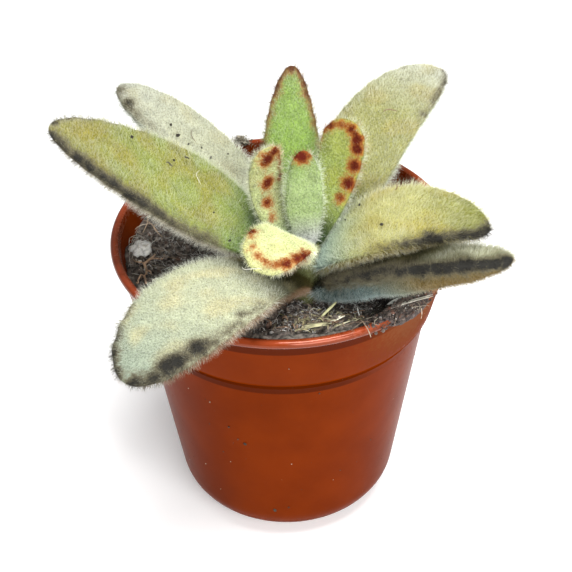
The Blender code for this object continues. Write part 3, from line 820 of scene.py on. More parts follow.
areas = {name: leaf_area(leaf) for name, leaf in LEAVES.items()}
for seed, (name, leaf) in enumerate(LEAVES.items()):
    share_of_all = areas[name] / sum(areas.values())
    make_hairs(name, leaf, LOOKS[name], seed, int(HAIR_BUDGET * share_of_all))
    print(name, round(areas[name]), "mm2,", TRIANGLES[name + "_hairs"], "triangles of hair")

# %% [markdown]
# ## Woolly stem
#
# The short stem between the leaf bases is green-brown and as woolly as the leaves. A cylinder
# would do for its trunk, but not for its top, so it is a stack of rings along its axis that
# ends in a low domed growing point. It carries its own hairs, made as on the leaves.

# %% Stem and its wool
STEM_BURIED = 8.0 * MM
STEM_SIDES = 40
STEM_RINGS = 46
BUD_HEIGHT = 0.9 * MM
DOME_START = 0.85           # share of the stem where its dome starts
STEM_HAIRS = 5000
STEM_TONE = np.array([0.16, 0.17, 0.07])


def stem_surface(share, angle):
    """Rings along the axis, with share 0 at the buried end and 1 at the top of the dome."""
    way = unit(STEM_TOP - STEM_FOOT)
    bottom = STEM_FOOT - way * STEM_BURIED
    straight = np.clip(share / DOME_START, 0, 1)[..., None]
    axis = bottom + (STEM_TOP - bottom) * straight
    dome = np.clip((share - DOME_START) / (1 - DOME_START), 0, 1)
    radius = stem_radius(axis[..., 2]) * np.sqrt(np.clip(1 - dome ** 2, 0, 1))
    radius = radius * (1 + 0.05 * np.cos(9 * straight[..., 0] * np.pi))
    circle = np.stack([np.cos(angle), np.sin(angle), 0 * angle], -1)
    lift = np.array([0.0, 0.0, BUD_HEIGHT]) * dome[..., None]
    return axis + circle * radius[..., None] + lift


def make_stem():
    """Closed grid for the bark, then needles over the part that stands out of the peat."""
    share = np.linspace(0.0, 0.995, STEM_RINGS)
    angle = full_turn(STEM_SIDES)
    s, a = (grid.ravel() for grid in np.meshgrid(share, angle, indexing="ij"))
    points = stem_surface(s, a)
    top = stem_surface(np.array([1.0]), np.zeros(1))
    points = np.concatenate([points[:STEM_SIDES].mean(0)[None], points, top])
    faces, uv = closed_grid(STEM_RINGS, STEM_SIDES)
    tone = np.tile(STEM_TONE, (len(points), 1)) * (1 + 0.2 * soft_noise(points, 2 * MM, 3))[:, None]
    add_piece("stem_bark", points, faces, FELT_SKIN["charcoal"], ("stem",),
              {"tone": tone, "mark": np.zeros(len(points))}, uv)
    rng = np.random.default_rng(31)
    s = rng.uniform(0.5, 1.0, STEM_HAIRS)
    a = rng.uniform(0, 2 * np.pi, STEM_HAIRS)
    root = stem_surface(s, a)
    out = unit(np.stack([np.cos(a), np.sin(a), np.clip((s - 0.8) * 6, 0, 1.2)], -1))
    way = unit(out + [0, 0, 0.3] + rng.normal(0, 0.4, (STEM_HAIRS, 3)))
    hairs = needles(root - out * HAIR_SUNK, way, 0.9 * MM * rng.uniform(0.5, 1.2, STEM_HAIRS),
                    HAIR_WIDTH * np.ones(STEM_HAIRS)).reshape(-1, 3)
    tone = STEM_TONE * 1.6 * rng.uniform(0.7, 1.2, (STEM_HAIRS, 1))
    marks = {"tone": np.repeat(tone, 4, 0), "mark": np.zeros(4 * STEM_HAIRS)}
    add_piece("stem_wool", hairs, [needle_faces(STEM_HAIRS)], FELT_HAIR["charcoal"], (),
              marks, needle_map(STEM_HAIRS), False)


make_stem()
print("stem:", TRIANGLES["stem_bark"] + TRIANGLES["stem_wool"], "triangles")

# %% [markdown]
# ## Pot
#
# The pot is injection moulded, so it is a turned body: one profile of radius and height,
# carried round the axis. The profile runs up the outside, over the rolled lip and down the
# inside. Small arcs at each corner catch the light as real rounded edges do.

# %% The pot's profile
RIM_RADIUS = 27.5 * MM
POT_HEIGHT = 51.0 * MM
LIP_HEIGHT = 1.4 * MM
LIP_BOTTOM = POT_HEIGHT - LIP_HEIGHT
LIP_WIDTH = 1.3 * MM
LIP_OVERHANG = 0.8 * MM
COLLAR_BOTTOM = 39.6 * MM
COLLAR_BOTTOM_RADIUS = 24.2 * MM
BODY_TOP_RADIUS = 23.25 * MM
STEP_DROP = 1.3 * MM
FOOT_RADIUS = 17.0 * MM
FOOT_ROUND = 6.0 * MM
WALL = 0.9 * MM
FLOOR = 1.2 * MM
DRAIN_COUNT = 4
DRAIN_HEADING = math.radians(-139)
DRAIN_RADIUS = 1.9 * MM
DRAIN_REACH = (8.6 * MM, 17.5 * MM)     # from the axis to either end of a rod
DRAIN_SIDES = 32
POT_SIDES = 150
CORNER = 0.35 * MM


def arc(centre, radius, start, end, steps):
    """Points (radius, height) on an arc; 0 degrees points outwards and 90 up."""
    turn = np.radians(np.linspace(start, end, steps))
    return np.stack([centre[0] + radius * np.cos(turn), centre[1] + radius * np.sin(turn)], -1)


def rounded(profile, reach, steps=4):
    """Each inner corner becomes a short quadratic curve between points reach before and after it."""
    out = [profile[:1]]
    for before, corner, after in zip(profile[:-2], profile[1:-1], profile[2:]):
        one, two = before - corner, after - corner
        most = 0.45 * min(np.linalg.norm(one), np.linalg.norm(two))
        one = corner + unit(one) * min(reach, most)
        two = corner + unit(two) * min(reach, most)
        t = np.linspace(0, 1, steps)[:, None]
        out.append((1 - t) ** 2 * one + 2 * t * (1 - t) * corner + t ** 2 * two)
    return np.concatenate([*out, profile[-1:]])


def dense(profile, longest):
    """Extra points evenly along long stretches, so that no edge is longer than given."""
    out = [profile[:1]]
    for a, b in zip(profile[:-1], profile[1:]):
        count = max(int(math.ceil(np.linalg.norm(b - a) / longest)), 1)
        out.append(a + (b - a) * (np.arange(1, count + 1) / count)[:, None])
    return np.concatenate(out)


def foot_lean():
    """Outward lean of the body wall: gain in radius over gain in height."""
    return (BODY_TOP_RADIUS - FOOT_RADIUS) / (COLLAR_BOTTOM - STEP_DROP)


def outside_profile():
    """From the foot's edge up to the lip's top."""
    foot = arc((FOOT_RADIUS - FOOT_ROUND, FOOT_ROUND), FOOT_ROUND, -90, 0, 14)
    foot[:, 0] += foot_lean() * foot[:, 1]
    roll = LIP_HEIGHT / 2
    lip = arc((RIM_RADIUS - roll, POT_HEIGHT - roll), roll, -75, 90, 12)
    edges = np.array([[BODY_TOP_RADIUS, COLLAR_BOTTOM - STEP_DROP], [COLLAR_BOTTOM_RADIUS, COLLAR_BOTTOM],
                      [RIM_RADIUS - LIP_OVERHANG, LIP_BOTTOM]])
    edges = rounded(np.concatenate([foot[-1:], edges, lip[:1]]), CORNER)
    return np.concatenate([foot, edges[1:-1], lip])


def inside_profile(inset=0.0):
    """From the lip's inner edge down to the floor's middle, moved inwards by inset."""
    mouth = RIM_RADIUS - LIP_WIDTH - inset
    neck = RIM_RADIUS - LIP_OVERHANG - WALL - inset
    floor = FLOOR + inset
    round_off = FOOT_ROUND - WALL
    foot = arc((FOOT_RADIUS - FOOT_ROUND - inset, floor + round_off), round_off, 0, -90, 10)
    foot[:, 0] += foot_lean() * foot[:, 1] * np.linspace(1, 0, 10)
    wall = np.array([[mouth, POT_HEIGHT - 0.2 * MM], [neck, LIP_BOTTOM],
                     [COLLAR_BOTTOM_RADIUS - WALL - inset, COLLAR_BOTTOM],
                     [BODY_TOP_RADIUS - WALL - inset, COLLAR_BOTTOM - STEP_DROP]])
    return np.concatenate([rounded(np.concatenate([wall, foot[:1]]), CORNER)[:-1], foot])


print("pot profile:", len(outside_profile()) + len(inside_profile()), "points")

# %% [markdown]
# ## Moulded plastic
#
# The terracotta colour is in the plastic itself, which is a little glossy. Its colour is even,
# with faint cloudy streaks from the moulding. Under the lip and under the collar the wall lies
# back, and painted shade darkens it there in two bands, each between two heights, weaker at the
# front right. A paler painted highlight runs along the outer edge of the lip's top. Dust from the
# peat clings to the outside at the front right, where peat was spilt over the lip: that is a mask
# worked out from the direction and height of each point, broken by noise.

# %% Pot material and mesh
TERRACOTTA = (0.134, 0.0178, 0.0006)
SHEEN = (1.0, 0.55, 0.45, 1.0)
TERRACOTTA_DEEP = (0.108, 0.0138, 0.0005)
DUST = (0.15, 0.062, 0.026)
# painted shade: the dark tone of the two bands under the collar and under the lip
PAINTED_SHADE_TONE = (0.062, 0.0080, 0.0006)
# the heights between which the painted shade bands run, under the collar and under the lip
PAINTED_SHADE_HEIGHTS = ((COLLAR_BOTTOM - 2.5 * MM, COLLAR_BOTTOM), (LIP_BOTTOM - 2.0 * MM, LIP_BOTTOM + 0.2 * MM))
# painted highlight: the paler orange along the outer edge of the lip's top
PAINTED_LIP_HIGHLIGHT = (0.27, 0.046, 0.014)
DUST_TURN = -38.0           # degrees, the direction in which the dust is thickest
# the wall's bends in millimetres: heights, outer radii, and radii inside its thickness
WALL_HEIGHTS = (0, 38.3, 39.6, 49.6, 51)
OUTER_RADII = (17.0, 23.25, 24.2, 26.7, 26.9)
MIDDLE_RADII = (16.5, 22.7, 23.6, 26.1, 26.4)
OVAL = 0.002                # how far the pot is out of round, of its radius


def pot_plastic(name, gloss, roughness):
    """Two close oranges mixed by noise, then dust, the painted shade bands and a painted lip highlight laid
    over.
    """
    made, tree, shader = start_material(name, roughness)
    shader.inputs["Specular IOR Level"].default_value = gloss
    shader.inputs["Specular Tint"].default_value = SHEEN
    cloud = ramp(tree, object_noise(tree, 120.0, 4.0), 0.3, 0.75)
    colour = mix_colours(tree, cloud, TERRACOTTA, TERRACOTTA_DEEP)
    soiled = combine(tree, "ADD", attribute(tree, "soil", "Fac"), object_noise(tree, 1500.0))
    colour = mix_colours(tree, ramp(tree, soiled, 0.62, 1.35, 0.0, 0.55), colour, DUST)
    place = add_node(tree, "ShaderNodeTexCoord").outputs["Object"]
    height = add_node(tree, "ShaderNodeSeparateXYZ", {"Vector": place}).outputs["Z"]
    # painted shade: two darker bands, under the collar and under the lip, on the outside only
    for low, high in PAINTED_SHADE_HEIGHTS:
        over = ramp(tree, height, low - 0.10 * MM, low + 0.10 * MM)
        under = ramp(tree, height, high - 0.06 * MM, high + 0.06 * MM, 1.0, 0.0)
        band = combine(tree, "MULTIPLY", over, under)
        band = combine(tree, "MULTIPLY", band, attribute(tree, "outside", "Fac"))
        colour = mix_colours(tree, band, colour, PAINTED_SHADE_TONE)
    # painted highlight: a paler line along the outer edge of the lip's top, broken by noise
    painted_lip_highlight = combine(tree, "MULTIPLY", attribute(tree, "painted_lip_highlight", "Fac"),
                    ramp(tree, object_noise(tree, 420.0), 0.15, 0.55))
    colour = mix_colours(tree, painted_lip_highlight, colour, PAINTED_LIP_HIGHLIGHT)
    tree.links.new(colour, shader.inputs["Base Color"])
    tree.links.new(ramp(tree, soiled, 0.55, 1.1, roughness, 0.75), shader.inputs["Roughness"])
    roughen(tree, shader, object_noise(tree, 260.0, 2.0), 0.12, 0.2 * MM)
    return made


def seen_from_axis(points):
    """Direction in degrees, then distance from the axis and height in millimetres."""
    turn = np.degrees(np.arctan2(points[:, 1], points[:, 0]))
    return turn, np.hypot(points[:, 0], points[:, 1]) / MM, points[:, 2] / MM


def soil_mask(points):
    """Dust at the front right near the lip, and a little on the inner wall."""
    turn, out, height = seen_from_axis(points)
    front_right = np.exp(-((turn - DUST_TURN) / 24) ** 2) * smooth_step(34, 50, height)
    inner = (out < np.interp(height, WALL_HEIGHTS, OUTER_RADII) - 0.4) * 0.25
    return np.clip(np.maximum(front_right, inner), 0, 1)


def outside_mask(points):
    """1 on the outside of the wall, less towards the front right, and 0 inside; it carries the painted shade
    bands.
    """
    turn, out, height = seen_from_axis(points)
    right_fade = np.exp(-((turn - DUST_TURN) / 22) ** 4)
    return (out > np.interp(height, WALL_HEIGHTS, MIDDLE_RADII)) * (1 - 0.75 * right_fade)


def painted_lip_highlight_mask(points):
    """The top of the lip along its outer edge, where a paler painted highlight is laid."""
    radius = np.hypot(points[:, 0], points[:, 1])
    top = smooth_step(POT_HEIGHT - 0.9 * MM, POT_HEIGHT - 0.1 * MM, points[:, 2])
    return top * np.exp(-((radius - RIM_RADIUS + 0.6 * MM) / (0.6 * MM)) ** 2)


def cut_drains(pot):
    """Round rods taken away from the foot, as the drain notches."""
    for k in range(DRAIN_COUNT):
        heading = DRAIN_HEADING + k * 2 * math.pi / DRAIN_COUNT
        way = np.array([math.cos(heading), math.sin(heading), 0.0])
        aside = np.array([-way[1], way[0], 0.0])
        turn = full_turn(DRAIN_SIDES)
        ring = (np.cos(turn)[:, None] * aside + np.sin(turn)[:, None] * [0, 0, 1]) * DRAIN_RADIUS
        near, far = (way * reach for reach in DRAIN_REACH)
        points = np.concatenate([near[None], ring + near, ring + far, far[None]])
        faces, _ = closed_grid(2, DRAIN_SIDES)
        rod = bpy.data.meshes.new("rod")
        rod.from_pydata(points.tolist(), [], [face for block in faces for face in block.tolist()])
        cutter = bpy.data.objects.new("rod", rod)
        bpy.context.collection.objects.link(cutter)
        knife = pot.modifiers.new("drain", "BOOLEAN")
        knife.object = cutter
        knife.operation = "DIFFERENCE"
        result = bpy.data.meshes.new_from_object(pot.evaluated_get(bpy.context.evaluated_depsgraph_get()))
        pot.modifiers.clear()
        pot.data = result
        bpy.data.objects.remove(cutter)
    pot.data.set_sharp_from_angle(angle=math.radians(50))


def turned(profile, sides, wobble=0.0):
    """Each point of the profile carried round: radius * cos, radius * sin, height; then poles.

    wobble makes the body a little oval: the radius swings with the cosine of twice the turn.
    """
    turn = full_turn(sides)
    radius = profile[:, :1] * (1 + wobble * np.cos(2 * turn + 0.7))
    x, y = radius * np.cos(turn), radius * np.sin(turn)
    ring = np.stack([x, y, np.broadcast_to(profile[:, 1:], x.shape)], -1).reshape(-1, 3)
    poles = [[[0.0, 0.0, profile[0, 1]]], ring, [[0.0, 0.0, profile[-1, 1]]]]
    return np.concatenate(poles)


def make_pot():
    """The turned shell with its drain notches, then one of three finishes for each face."""
    profile = dense(np.concatenate([outside_profile(), inside_profile()]), 1.2 * MM)
    points = turned(profile, POT_SIDES, OVAL)
    faces, _ = closed_grid(len(profile), POT_SIDES)
    wall = pot_plastic("terracotta_plastic", 0.015, 0.30)
    pot = add_piece("pot_shell", points, faces, wall, ("pot",),
                    {"soil": soil_mask(points), "outside": outside_mask(points),
                     "painted_lip_highlight": painted_lip_highlight_mask(points)})
    cut_drains(pot)
    pot.data.materials.append(pot_plastic("terracotta_lip", 0.5, 0.11))
    pot.data.materials.append(pot_plastic("terracotta_hollow", 0.0, 0.60))
    middle = np.array([face.center for face in pot.data.polygons])
    normal = np.array([face.normal for face in pot.data.polygons])
    height, outwards = middle[:, 2], (middle[:, :2] * normal[:, :2]).sum(-1) > 0
    kind = np.where(height > LIP_BOTTOM, 1, 0)
    kind[(kind == 0) & outwards & (height > 20 * MM) & (normal[:, 2] < -0.30)] = 2
    pot.data.polygons.foreach_set("material_index", kind.astype(np.int32))


make_pot()
print("pot:", TRIANGLES["pot_shell"], "triangles")

# %% [markdown]
# ## Peat
#
# The peat stands higher at the front and dishes a little in the middle. Its top is a polar
# grid lifted by noise of three sizes; loose crumbs and grains are then scattered over it, as
# in a real potting mix. Crumbs are dented twenty-sided lumps, cheap enough for hundreds of
# them. At the front right some peat was spilt over the lip: an arc of flattened rings gives
# that bank its body, and more crumbs cover it.

# %% Peat surface
PEAT_MIDDLE = 44.2 * MM
PEAT_SLOPE = 0.116
PEAT_DISH = 5.0
PEAT_SIDES = 170
PEAT_RINGS = 44
PEAT_INSET = 0.02 * MM      # from the pot's inner wall
PEAT_WET = np.array([0.020, 0.014, 0.012])
PEAT_DRY = np.array([0.25, 0.20, 0.175])
DUSTY_WHITE = (0.75, 0.68, 0.55)


def peat_height(x, y):
    """Smooth height of the peat: middle - slope * y + dish * (distance from the axis) ** 2."""
    return PEAT_MIDDLE - PEAT_SLOPE * y + PEAT_DISH * (x * x + y * y)


def peat_rough(x, y):
    """Clods, crumbs and grains: noise of 4, 1.7 and 0.8 mm."""
    place = np.stack([x, y, 0 * x], -1)
    return (0.50 * soft_noise(place, 4.0 * MM, 41) + 0.28 * soft_noise(place, 1.7 * MM, 42)
            + 0.14 * soft_noise(place, 0.8 * MM, 43)) * MM


def peat_top(x, y):
    """Height of the rough surface."""
    return peat_height(x, y) + peat_rough(x, y)


def earthy(name, roughness, low, high, scale, bump_scale):
    """The mesh's tone, darkened and lightened by noise, with a grainy bump."""
    made, tree, shader = start_material(name, roughness)
    tone = attribute(tree, "tone", "Color")
    dark = mix_colours(tree, 1.0 - low, tone, BLACK)
    light = mix_colours(tree, high, tone, DUSTY_WHITE)
    colour = mix_colours(tree, ramp(tree, object_noise(tree, scale, 4.0), 0.3, 0.7), dark, light)
    tree.links.new(colour, shader.inputs["Base Color"])
    roughen(tree, shader, object_noise(tree, bump_scale, 4.0), 0.8, 0.3 * MM)
    return made


PEAT_EARTH = earthy("peat_earth", 0.95, 0.35, 0.14, 1500.0, 2600.0)
PEAT_DARK = earthy("peat_dark", 0.95, 0.5, 0.03, 1500.0, 2600.0)
DRY_STRAW = earthy("dry_straw", 0.7, 0.75, 0.12, 700.0, 2500.0)


def make_peat():
    """Polar grid on top, then down the wall to the floor."""
    inside = inside_profile(PEAT_INSET)
    side = inside[inside[:, 1] <= COLLAR_BOTTOM][::-1]
    lower = turned(side, PEAT_SIDES)[1:-1].reshape(len(side), PEAT_SIDES, 3)
    turn = full_turn(PEAT_SIDES)
    neck = RIM_RADIUS - LIP_OVERHANG - WALL - PEAT_INSET
    collar = COLLAR_BOTTOM_RADIUS - WALL - PEAT_INSET
    slope = (neck - collar) / (LIP_BOTTOM - COLLAR_BOTTOM)
    edge = np.full(PEAT_SIDES, neck)
    for _ in range(4):
        height = peat_top(edge * np.cos(turn), edge * np.sin(turn))
        edge = np.minimum(collar + slope * (height - COLLAR_BOTTOM), neck)
    inwards = (1.0 - np.arange(PEAT_RINGS) / PEAT_RINGS)[:, None]
    x, y = inwards * edge * np.cos(turn), inwards * edge * np.sin(turn)
    upper = np.stack([x, y, peat_top(x, y)], -1)
    rings = np.concatenate([lower, upper])
    points = np.concatenate([[[0, 0, side[0, 1]]], rings.reshape(-1, 3),
                             [[0, 0, float(peat_top(np.zeros(1), np.zeros(1))[0])]]])
    faces, uv = closed_grid(len(rings), PEAT_SIDES)
    # high noise gives the dry crust, low noise the wet peat between
    dry = smooth_step(-0.3, 1.1, soft_noise(points, 1.3 * MM, 47))[:, None]
    tone = PEAT_WET * (1 - dry) + PEAT_DRY * dry
    return add_piece("peat_fill", points, faces, PEAT_EARTH, ("peat",), {"tone": tone}, uv)


make_peat()
print("peat:", TRIANGLES["peat_fill"], "triangles")

# %% Crumbs, grains and the spilt bank
GOLD = (1 + math.sqrt(5)) / 2
LUMP = unit(np.array([[-1, GOLD, 0], [1, GOLD, 0], [-1, -GOLD, 0], [1, -GOLD, 0], [0, -1, GOLD],
                      [0, 1, GOLD], [0, -1, -GOLD], [0, 1, -GOLD], [GOLD, 0, -1], [GOLD, 0, 1],
                      [-GOLD, 0, -1], [-GOLD, 0, 1]]))
LUMP_FACES = np.array([[0, 11, 5], [0, 5, 1], [0, 1, 7], [0, 7, 10], [0, 10, 11], [1, 5, 9], [5, 11, 4],
                       [11, 10, 2], [10, 7, 6], [7, 1, 8], [3, 9, 4], [3, 4, 2], [3, 2, 6], [3, 6, 8],
                       [3, 8, 9], [4, 9, 5], [2, 4, 11], [6, 2, 10], [8, 6, 7], [9, 8, 1]])


def turns(count, rng):
    """Random rotation matrices from random unit quaternions."""
    w, x, y, z = unit(rng.normal(size=(count, 4))).T
    rows = [[1 - 2 * (y * y + z * z), 2 * (x * y - w * z), 2 * (x * z + w * y)],
            [2 * (x * y + w * z), 1 - 2 * (x * x + z * z), 2 * (y * z - w * x)],
            [2 * (x * z - w * y), 2 * (y * z + w * x), 1 - 2 * (x * x + y * y)]]
    return np.array(rows).transpose(2, 0, 1)


def lumps(centres, sizes, rng, flat=1.0, dent=0.18):
    """Twenty-sided lumps: stretched, dented, turned and set down at their centres."""
    count = len(centres)
    stretch = rng.uniform(0.65, 1.25, (count, 1, 3)) * [1, 1, flat]
    shape = LUMP[None] * rng.normal(1.0, dent, (count, 12, 1)).clip(0.5, 1.5) * stretch
    shape = np.einsum("nij,nkj->nki", turns(count, rng), shape)
    points = shape * sizes[:, None, None] + centres[:, None]
    faces = (np.arange(count)[:, None, None] * 12 + LUMP_FACES).reshape(-1, 3)
    return points.reshape(-1, 3), faces


def on_peat(count, rng, reach=24.2 * MM):
    """Random places spread evenly over the disc of peat."""
    radius = reach * np.sqrt(rng.uniform(0, 1, count))
    turn = rng.uniform(0, 2 * np.pi, count)
    return radius * np.cos(turn), radius * np.sin(turn)


BEAD = np.array([[1, 0, 0], [-1, 0, 0], [0, 1, 0], [0, -1, 0], [0, 0, 1], [0, 0, -1.0]])
BEAD_FACES = np.array([[0, 2, 4], [2, 1, 4], [1, 3, 4], [3, 0, 4], [2, 0, 5], [1, 2, 5],
                       [3, 1, 5], [0, 3, 5]])
GRAIN_DARK = np.array([0.082, 0.061, 0.050])
GRAIN_RUST = np.array([0.13, 0.060, 0.040])
GRAIN_PALE = np.array([0.66, 0.64, 0.60])


def beads(centres, sizes, rng):
    """Eight-sided grains for what is too small for a lump."""
    count = len(centres)
    shape = BEAD[None] * rng.uniform(0.6, 1.3, (count, 6, 1))
    points = np.einsum("nij,nkj->nki", turns(count, rng), shape) * sizes[:, None, None] + centres[:, None]
    return points.reshape(-1, 3), (np.arange(count)[:, None, None] * 6 + BEAD_FACES).reshape(-1, 3)


def grain_tones(count, rng, pale_share):
    """Black-brown grains, some of them red-brown, some pale grey, each brighter or darker."""
    dark = GRAIN_DARK * rng.uniform(0.3, 2.2, (count, 1))
    rust = GRAIN_RUST * rng.uniform(0.5, 1.4, (count, 1))
    pale = GRAIN_PALE * rng.uniform(0.4, 1.3, (count, 1))
    which = rng.uniform(size=(count, 1))
    return np.where(which < pale_share, pale, np.where(which > 0.86, rust, dark))


def make_crumbs():
    """Crumbs and a few larger clods lying on the peat, with fine grains between them."""
    rng = np.random.default_rng(51)
    count = 1100
    x, y = on_peat(count, rng)
    size = 0.24 * MM * rng.uniform(0.08, 1.0, count) ** -0.42
    centres = np.stack([x, y, peat_top(x, y) + 0.25 * size], -1)
    points, faces = lumps(centres, size, rng, 1.0, 0.26)
    add_litter("peat_crumbs", points, [faces], PEAT_EARTH, grain_tones(count, rng, 0.05), False)
    count = 4200
    x, y = on_peat(count, rng)
    size = MM * rng.uniform(0.09, 0.20, count)
    centres = np.stack([x, y, peat_top(x, y) + rng.uniform(0.0, 0.35, count) * MM], -1)
    points, faces = beads(centres, size, rng)
    add_litter("peat_grains", points, [faces], PEAT_EARTH, grain_tones(count, rng, 0.30), False)


# the bank of spilt peat: its middle and half its arc in degrees, its ring's place and radius
MOUND_TURN = -46.0
MOUND_HALF = 13.5
MOUND_RADIUS = 26.35 * MM
MOUND_REACH = 1.75 * MM
MOUND_TONE = np.array([0.075, 0.056, 0.052])
# name, count, smallest and largest size in millimetres, and shape of what lies over it
SPILT = (("peat_spill", 650, 0.16, 0.40, lumps), ("peat_dust", 3000, 0.08, 0.17, beads))


def make_mound():
    """A low bank of peat that buries the lip at the front right: an arc of flattened rings.

    Ring sizes follow sqrt(1 - share ** 2), so the bank thins to a point at either end.
    """
    rings, sides = 64, 30
    share = np.linspace(-1, 1, rings + 2)[1:-1, None]
    turn = full_turn(sides)[None]
    swell = (1 - share ** 2) ** 0.5
    around = np.radians(MOUND_TURN + MOUND_HALF * share) + 0 * turn
    out = MOUND_RADIUS + MOUND_REACH * swell * np.cos(turn)
    droop = 0.9 * np.clip(out / MM - 27.0, 0, 2) ** 1.3
    z = (50.55 + 1.05 * swell * np.sin(turn) - droop) * MM
    ring = np.stack([out * np.cos(around), out * np.sin(around), z], -1).reshape(-1, 3)
    ends = np.radians([MOUND_TURN - MOUND_HALF, MOUND_TURN + MOUND_HALF])
    ends = np.stack([MOUND_RADIUS * np.cos(ends), MOUND_RADIUS * np.sin(ends), [50.5 * MM] * 2], -1)
    points = np.concatenate([ends[:1], ring, ends[1:]])
    rough = 0.16 * soft_noise(points, 1.5 * MM, 54) + 0.13 * soft_noise(points, 0.6 * MM, 55)
    points[:, 2] += rough * MM
    points[:, :2] *= (1 + rough / 90)[:, None]
    faces, uv = closed_grid(rings, sides)
    tone = np.clip(MOUND_TONE * (1 + 0.7 * soft_noise(points, 0.6 * MM, 56))[:, None], 0.004, 1)
    return add_piece("peat_mound", points, faces, PEAT_DARK, (), {"tone": tone}, uv)


def make_spill():
    """Peat heaped against and over the lip at the front right: crumbs, then finer grains."""
    rng = np.random.default_rng(52)
    for name, count, low, high, make in SPILT:
        turn = rng.normal(MOUND_TURN, 6.5, count).clip(-62, -30)
        radius = rng.normal(26.0, 1.1, count).clip(22.5, 28.0) * MM
        x, y = radius * np.cos(np.radians(turn)), radius * np.sin(np.radians(turn))
        size = MM * (low + (high - low) * rng.uniform(0, 1, count) ** 3)
        on_lip = smooth_step(24.9 * MM, 26.0 * MM, radius)
        beyond = np.clip((radius - 26.9 * MM) / MM, 0, 1)
        swell = np.clip(1 - ((turn - MOUND_TURN) / MOUND_HALF) ** 2, 0, 1)
        bank = np.sqrt(np.clip(swell - ((radius - MOUND_RADIUS) / MOUND_REACH) ** 2, 0, 1))
        heap = (bank + rng.uniform(-0.1, 0.15, count)) * MM
        base = peat_top(x, y) * (1 - on_lip) + (POT_HEIGHT + 0.05 * MM - 0.9 * MM * beyond ** 2) * on_lip
        points, faces = make(np.stack([x, y, base + heap], -1), size, rng)
        add_litter(name, points, [faces], PEAT_DARK, grain_tones(count, rng, 0.04), False)


make_crumbs()
make_mound()
make_spill()
print("crumbs:", sum(TRIANGLES["peat_" + k] for k in ("crumbs", "grains", "mound", "spill", "dust")),
      "triangles")

# %% [markdown]
# ## Fibres, roots and straw
#
# A strand is a tube carried along a path. All strands of a piece are made in one go: the paths
# are an array of strand, station and coordinate, and every tube has the same few sides. A
# number below 1 for flat makes a chip of straw out of a round root.

# %% Strands


def strands(paths, radius, sides=4, flat=1.0):
    """Tubes along paths (n, k, 3) with radii (n, k), closed by a point at both ends.

    A ring is path + radius * (cos(turn) * aside + flat * sin(turn) * upper), square to the way.
    """
    count, stations = paths.shape[:2]
    way = unit(np.gradient(paths, axis=1))
    aside = unit(np.cross(way, [0.0, 0.0, 1.0]) + 1e-9)
    upper = np.cross(aside, way)
    turn = full_turn(sides)
    ring = (np.cos(turn)[:, None] * aside[:, :, None] + flat * np.sin(turn)[:, None] * upper[:, :, None])
    rings = paths[:, :, None] + ring * radius[:, :, None, None]
    first = paths[:, :1] - way[:, :1] * radius[:, :1, None]
    last = paths[:, -1:] + way[:, -1:] * radius[:, -1:, None]
    points = np.concatenate([first, rings.reshape(count, -1, 3), last], axis=1)
    faces, _ = closed_grid(stations, sides)
    each = stations * sides + 2
    shift = np.arange(count)[:, None, None] * each
    return points.reshape(-1, 3), [(block[None] + shift).reshape(-1, block.shape[1]) for block in faces]


def wandering(start, heading, length, rng, stations, wander):
    """Level paths whose heading drifts at random along the way."""
    count = len(length)
    step = (length / (stations - 1))[:, None]
    drift = np.cumsum(rng.normal(0, wander / math.sqrt(stations), (count, stations)), axis=1)
    turn = heading[:, None] + drift
    x = start[:, :1] + np.cumsum(step * np.cos(turn), axis=1)
    y = start[:, 1:2] + np.cumsum(step * np.sin(turn), axis=1)
    return np.stack([x, y, np.zeros_like(x)], -1)


def taper(stations, radius, thin=0.3):
    """Radii that thin like half a circle towards both ends, down to about the share thin."""
    share = np.linspace(-1, 1, stations)[None]
    return radius[:, None] * (thin + (1 - thin) * np.sqrt(1 - share ** 2 * 0.98))


def lay_on_peat(paths, lift, rng, arch):
    """Height of the peat, plus a lift, plus a half sine of random height, plus a random tilt."""
    share = np.linspace(0, 1, paths.shape[1])[None]
    bow = np.sin(np.pi * share) * rng.uniform(0, 1, (len(paths), 1)) * arch
    tilt = (share - 0.5) * rng.normal(0, 1, (len(paths), 1)) * arch * 0.6
    paths[..., 2] = peat_height(paths[..., 0], paths[..., 1]) + lift + bow + np.abs(tilt)
    return paths


# name, count, stations, shortest and longest, range of radii in millimetres, share of each tone
FIBRES = (("peat_fibres", 150, 8, 1.5, 6.0, (0.03, 0.065), (0.40, 0.20, 0.32, 0.08)),
          ("peat_root_hairs", 2100, 3, 0.4, 1.9, (0.026, 0.055), (0.08, 0.36, 0.10, 0.46)))
FIBRE_TONES = np.array([[0.22, 0.15, 0.10], [0.58, 0.56, 0.52], [0.085, 0.055, 0.04], [0.95, 0.94, 0.90]])


def make_fibres():
    """Long brown fibres, and many short pale root hairs, all over the peat."""
    rng = np.random.default_rng(61)
    for name, count, stations, low, high, thick, shares in FIBRES:
        x, y = on_peat(count, rng, 23.9 * MM)
        length = rng.uniform(low, high, count) * MM
        heading = rng.uniform(0, 2 * np.pi, count)
        paths = wandering(np.stack([x, y], -1), heading, length, rng, stations, 0.9)
        paths = paths[np.hypot(paths[..., 0], paths[..., 1]).max(1) < 25.2 * MM]
        count = len(paths)
        paths = lay_on_peat(paths, 0.40 * MM, rng, 0.9 * MM)
        radius = taper(stations, rng.uniform(*thick, count) * MM)
        points, faces = strands(paths, radius, 4 if stations > 3 else 3)
        tone = FIBRE_TONES[rng.choice(len(FIBRE_TONES), count, p=shares)] * rng.uniform(0.5, 1.1, (count, 1))
        add_litter(name, points, faces, DRY_STRAW, tone)


make_fibres()
print("fibres:", TRIANGLES["peat_fibres"] + TRIANGLES["peat_root_hairs"], "triangles")

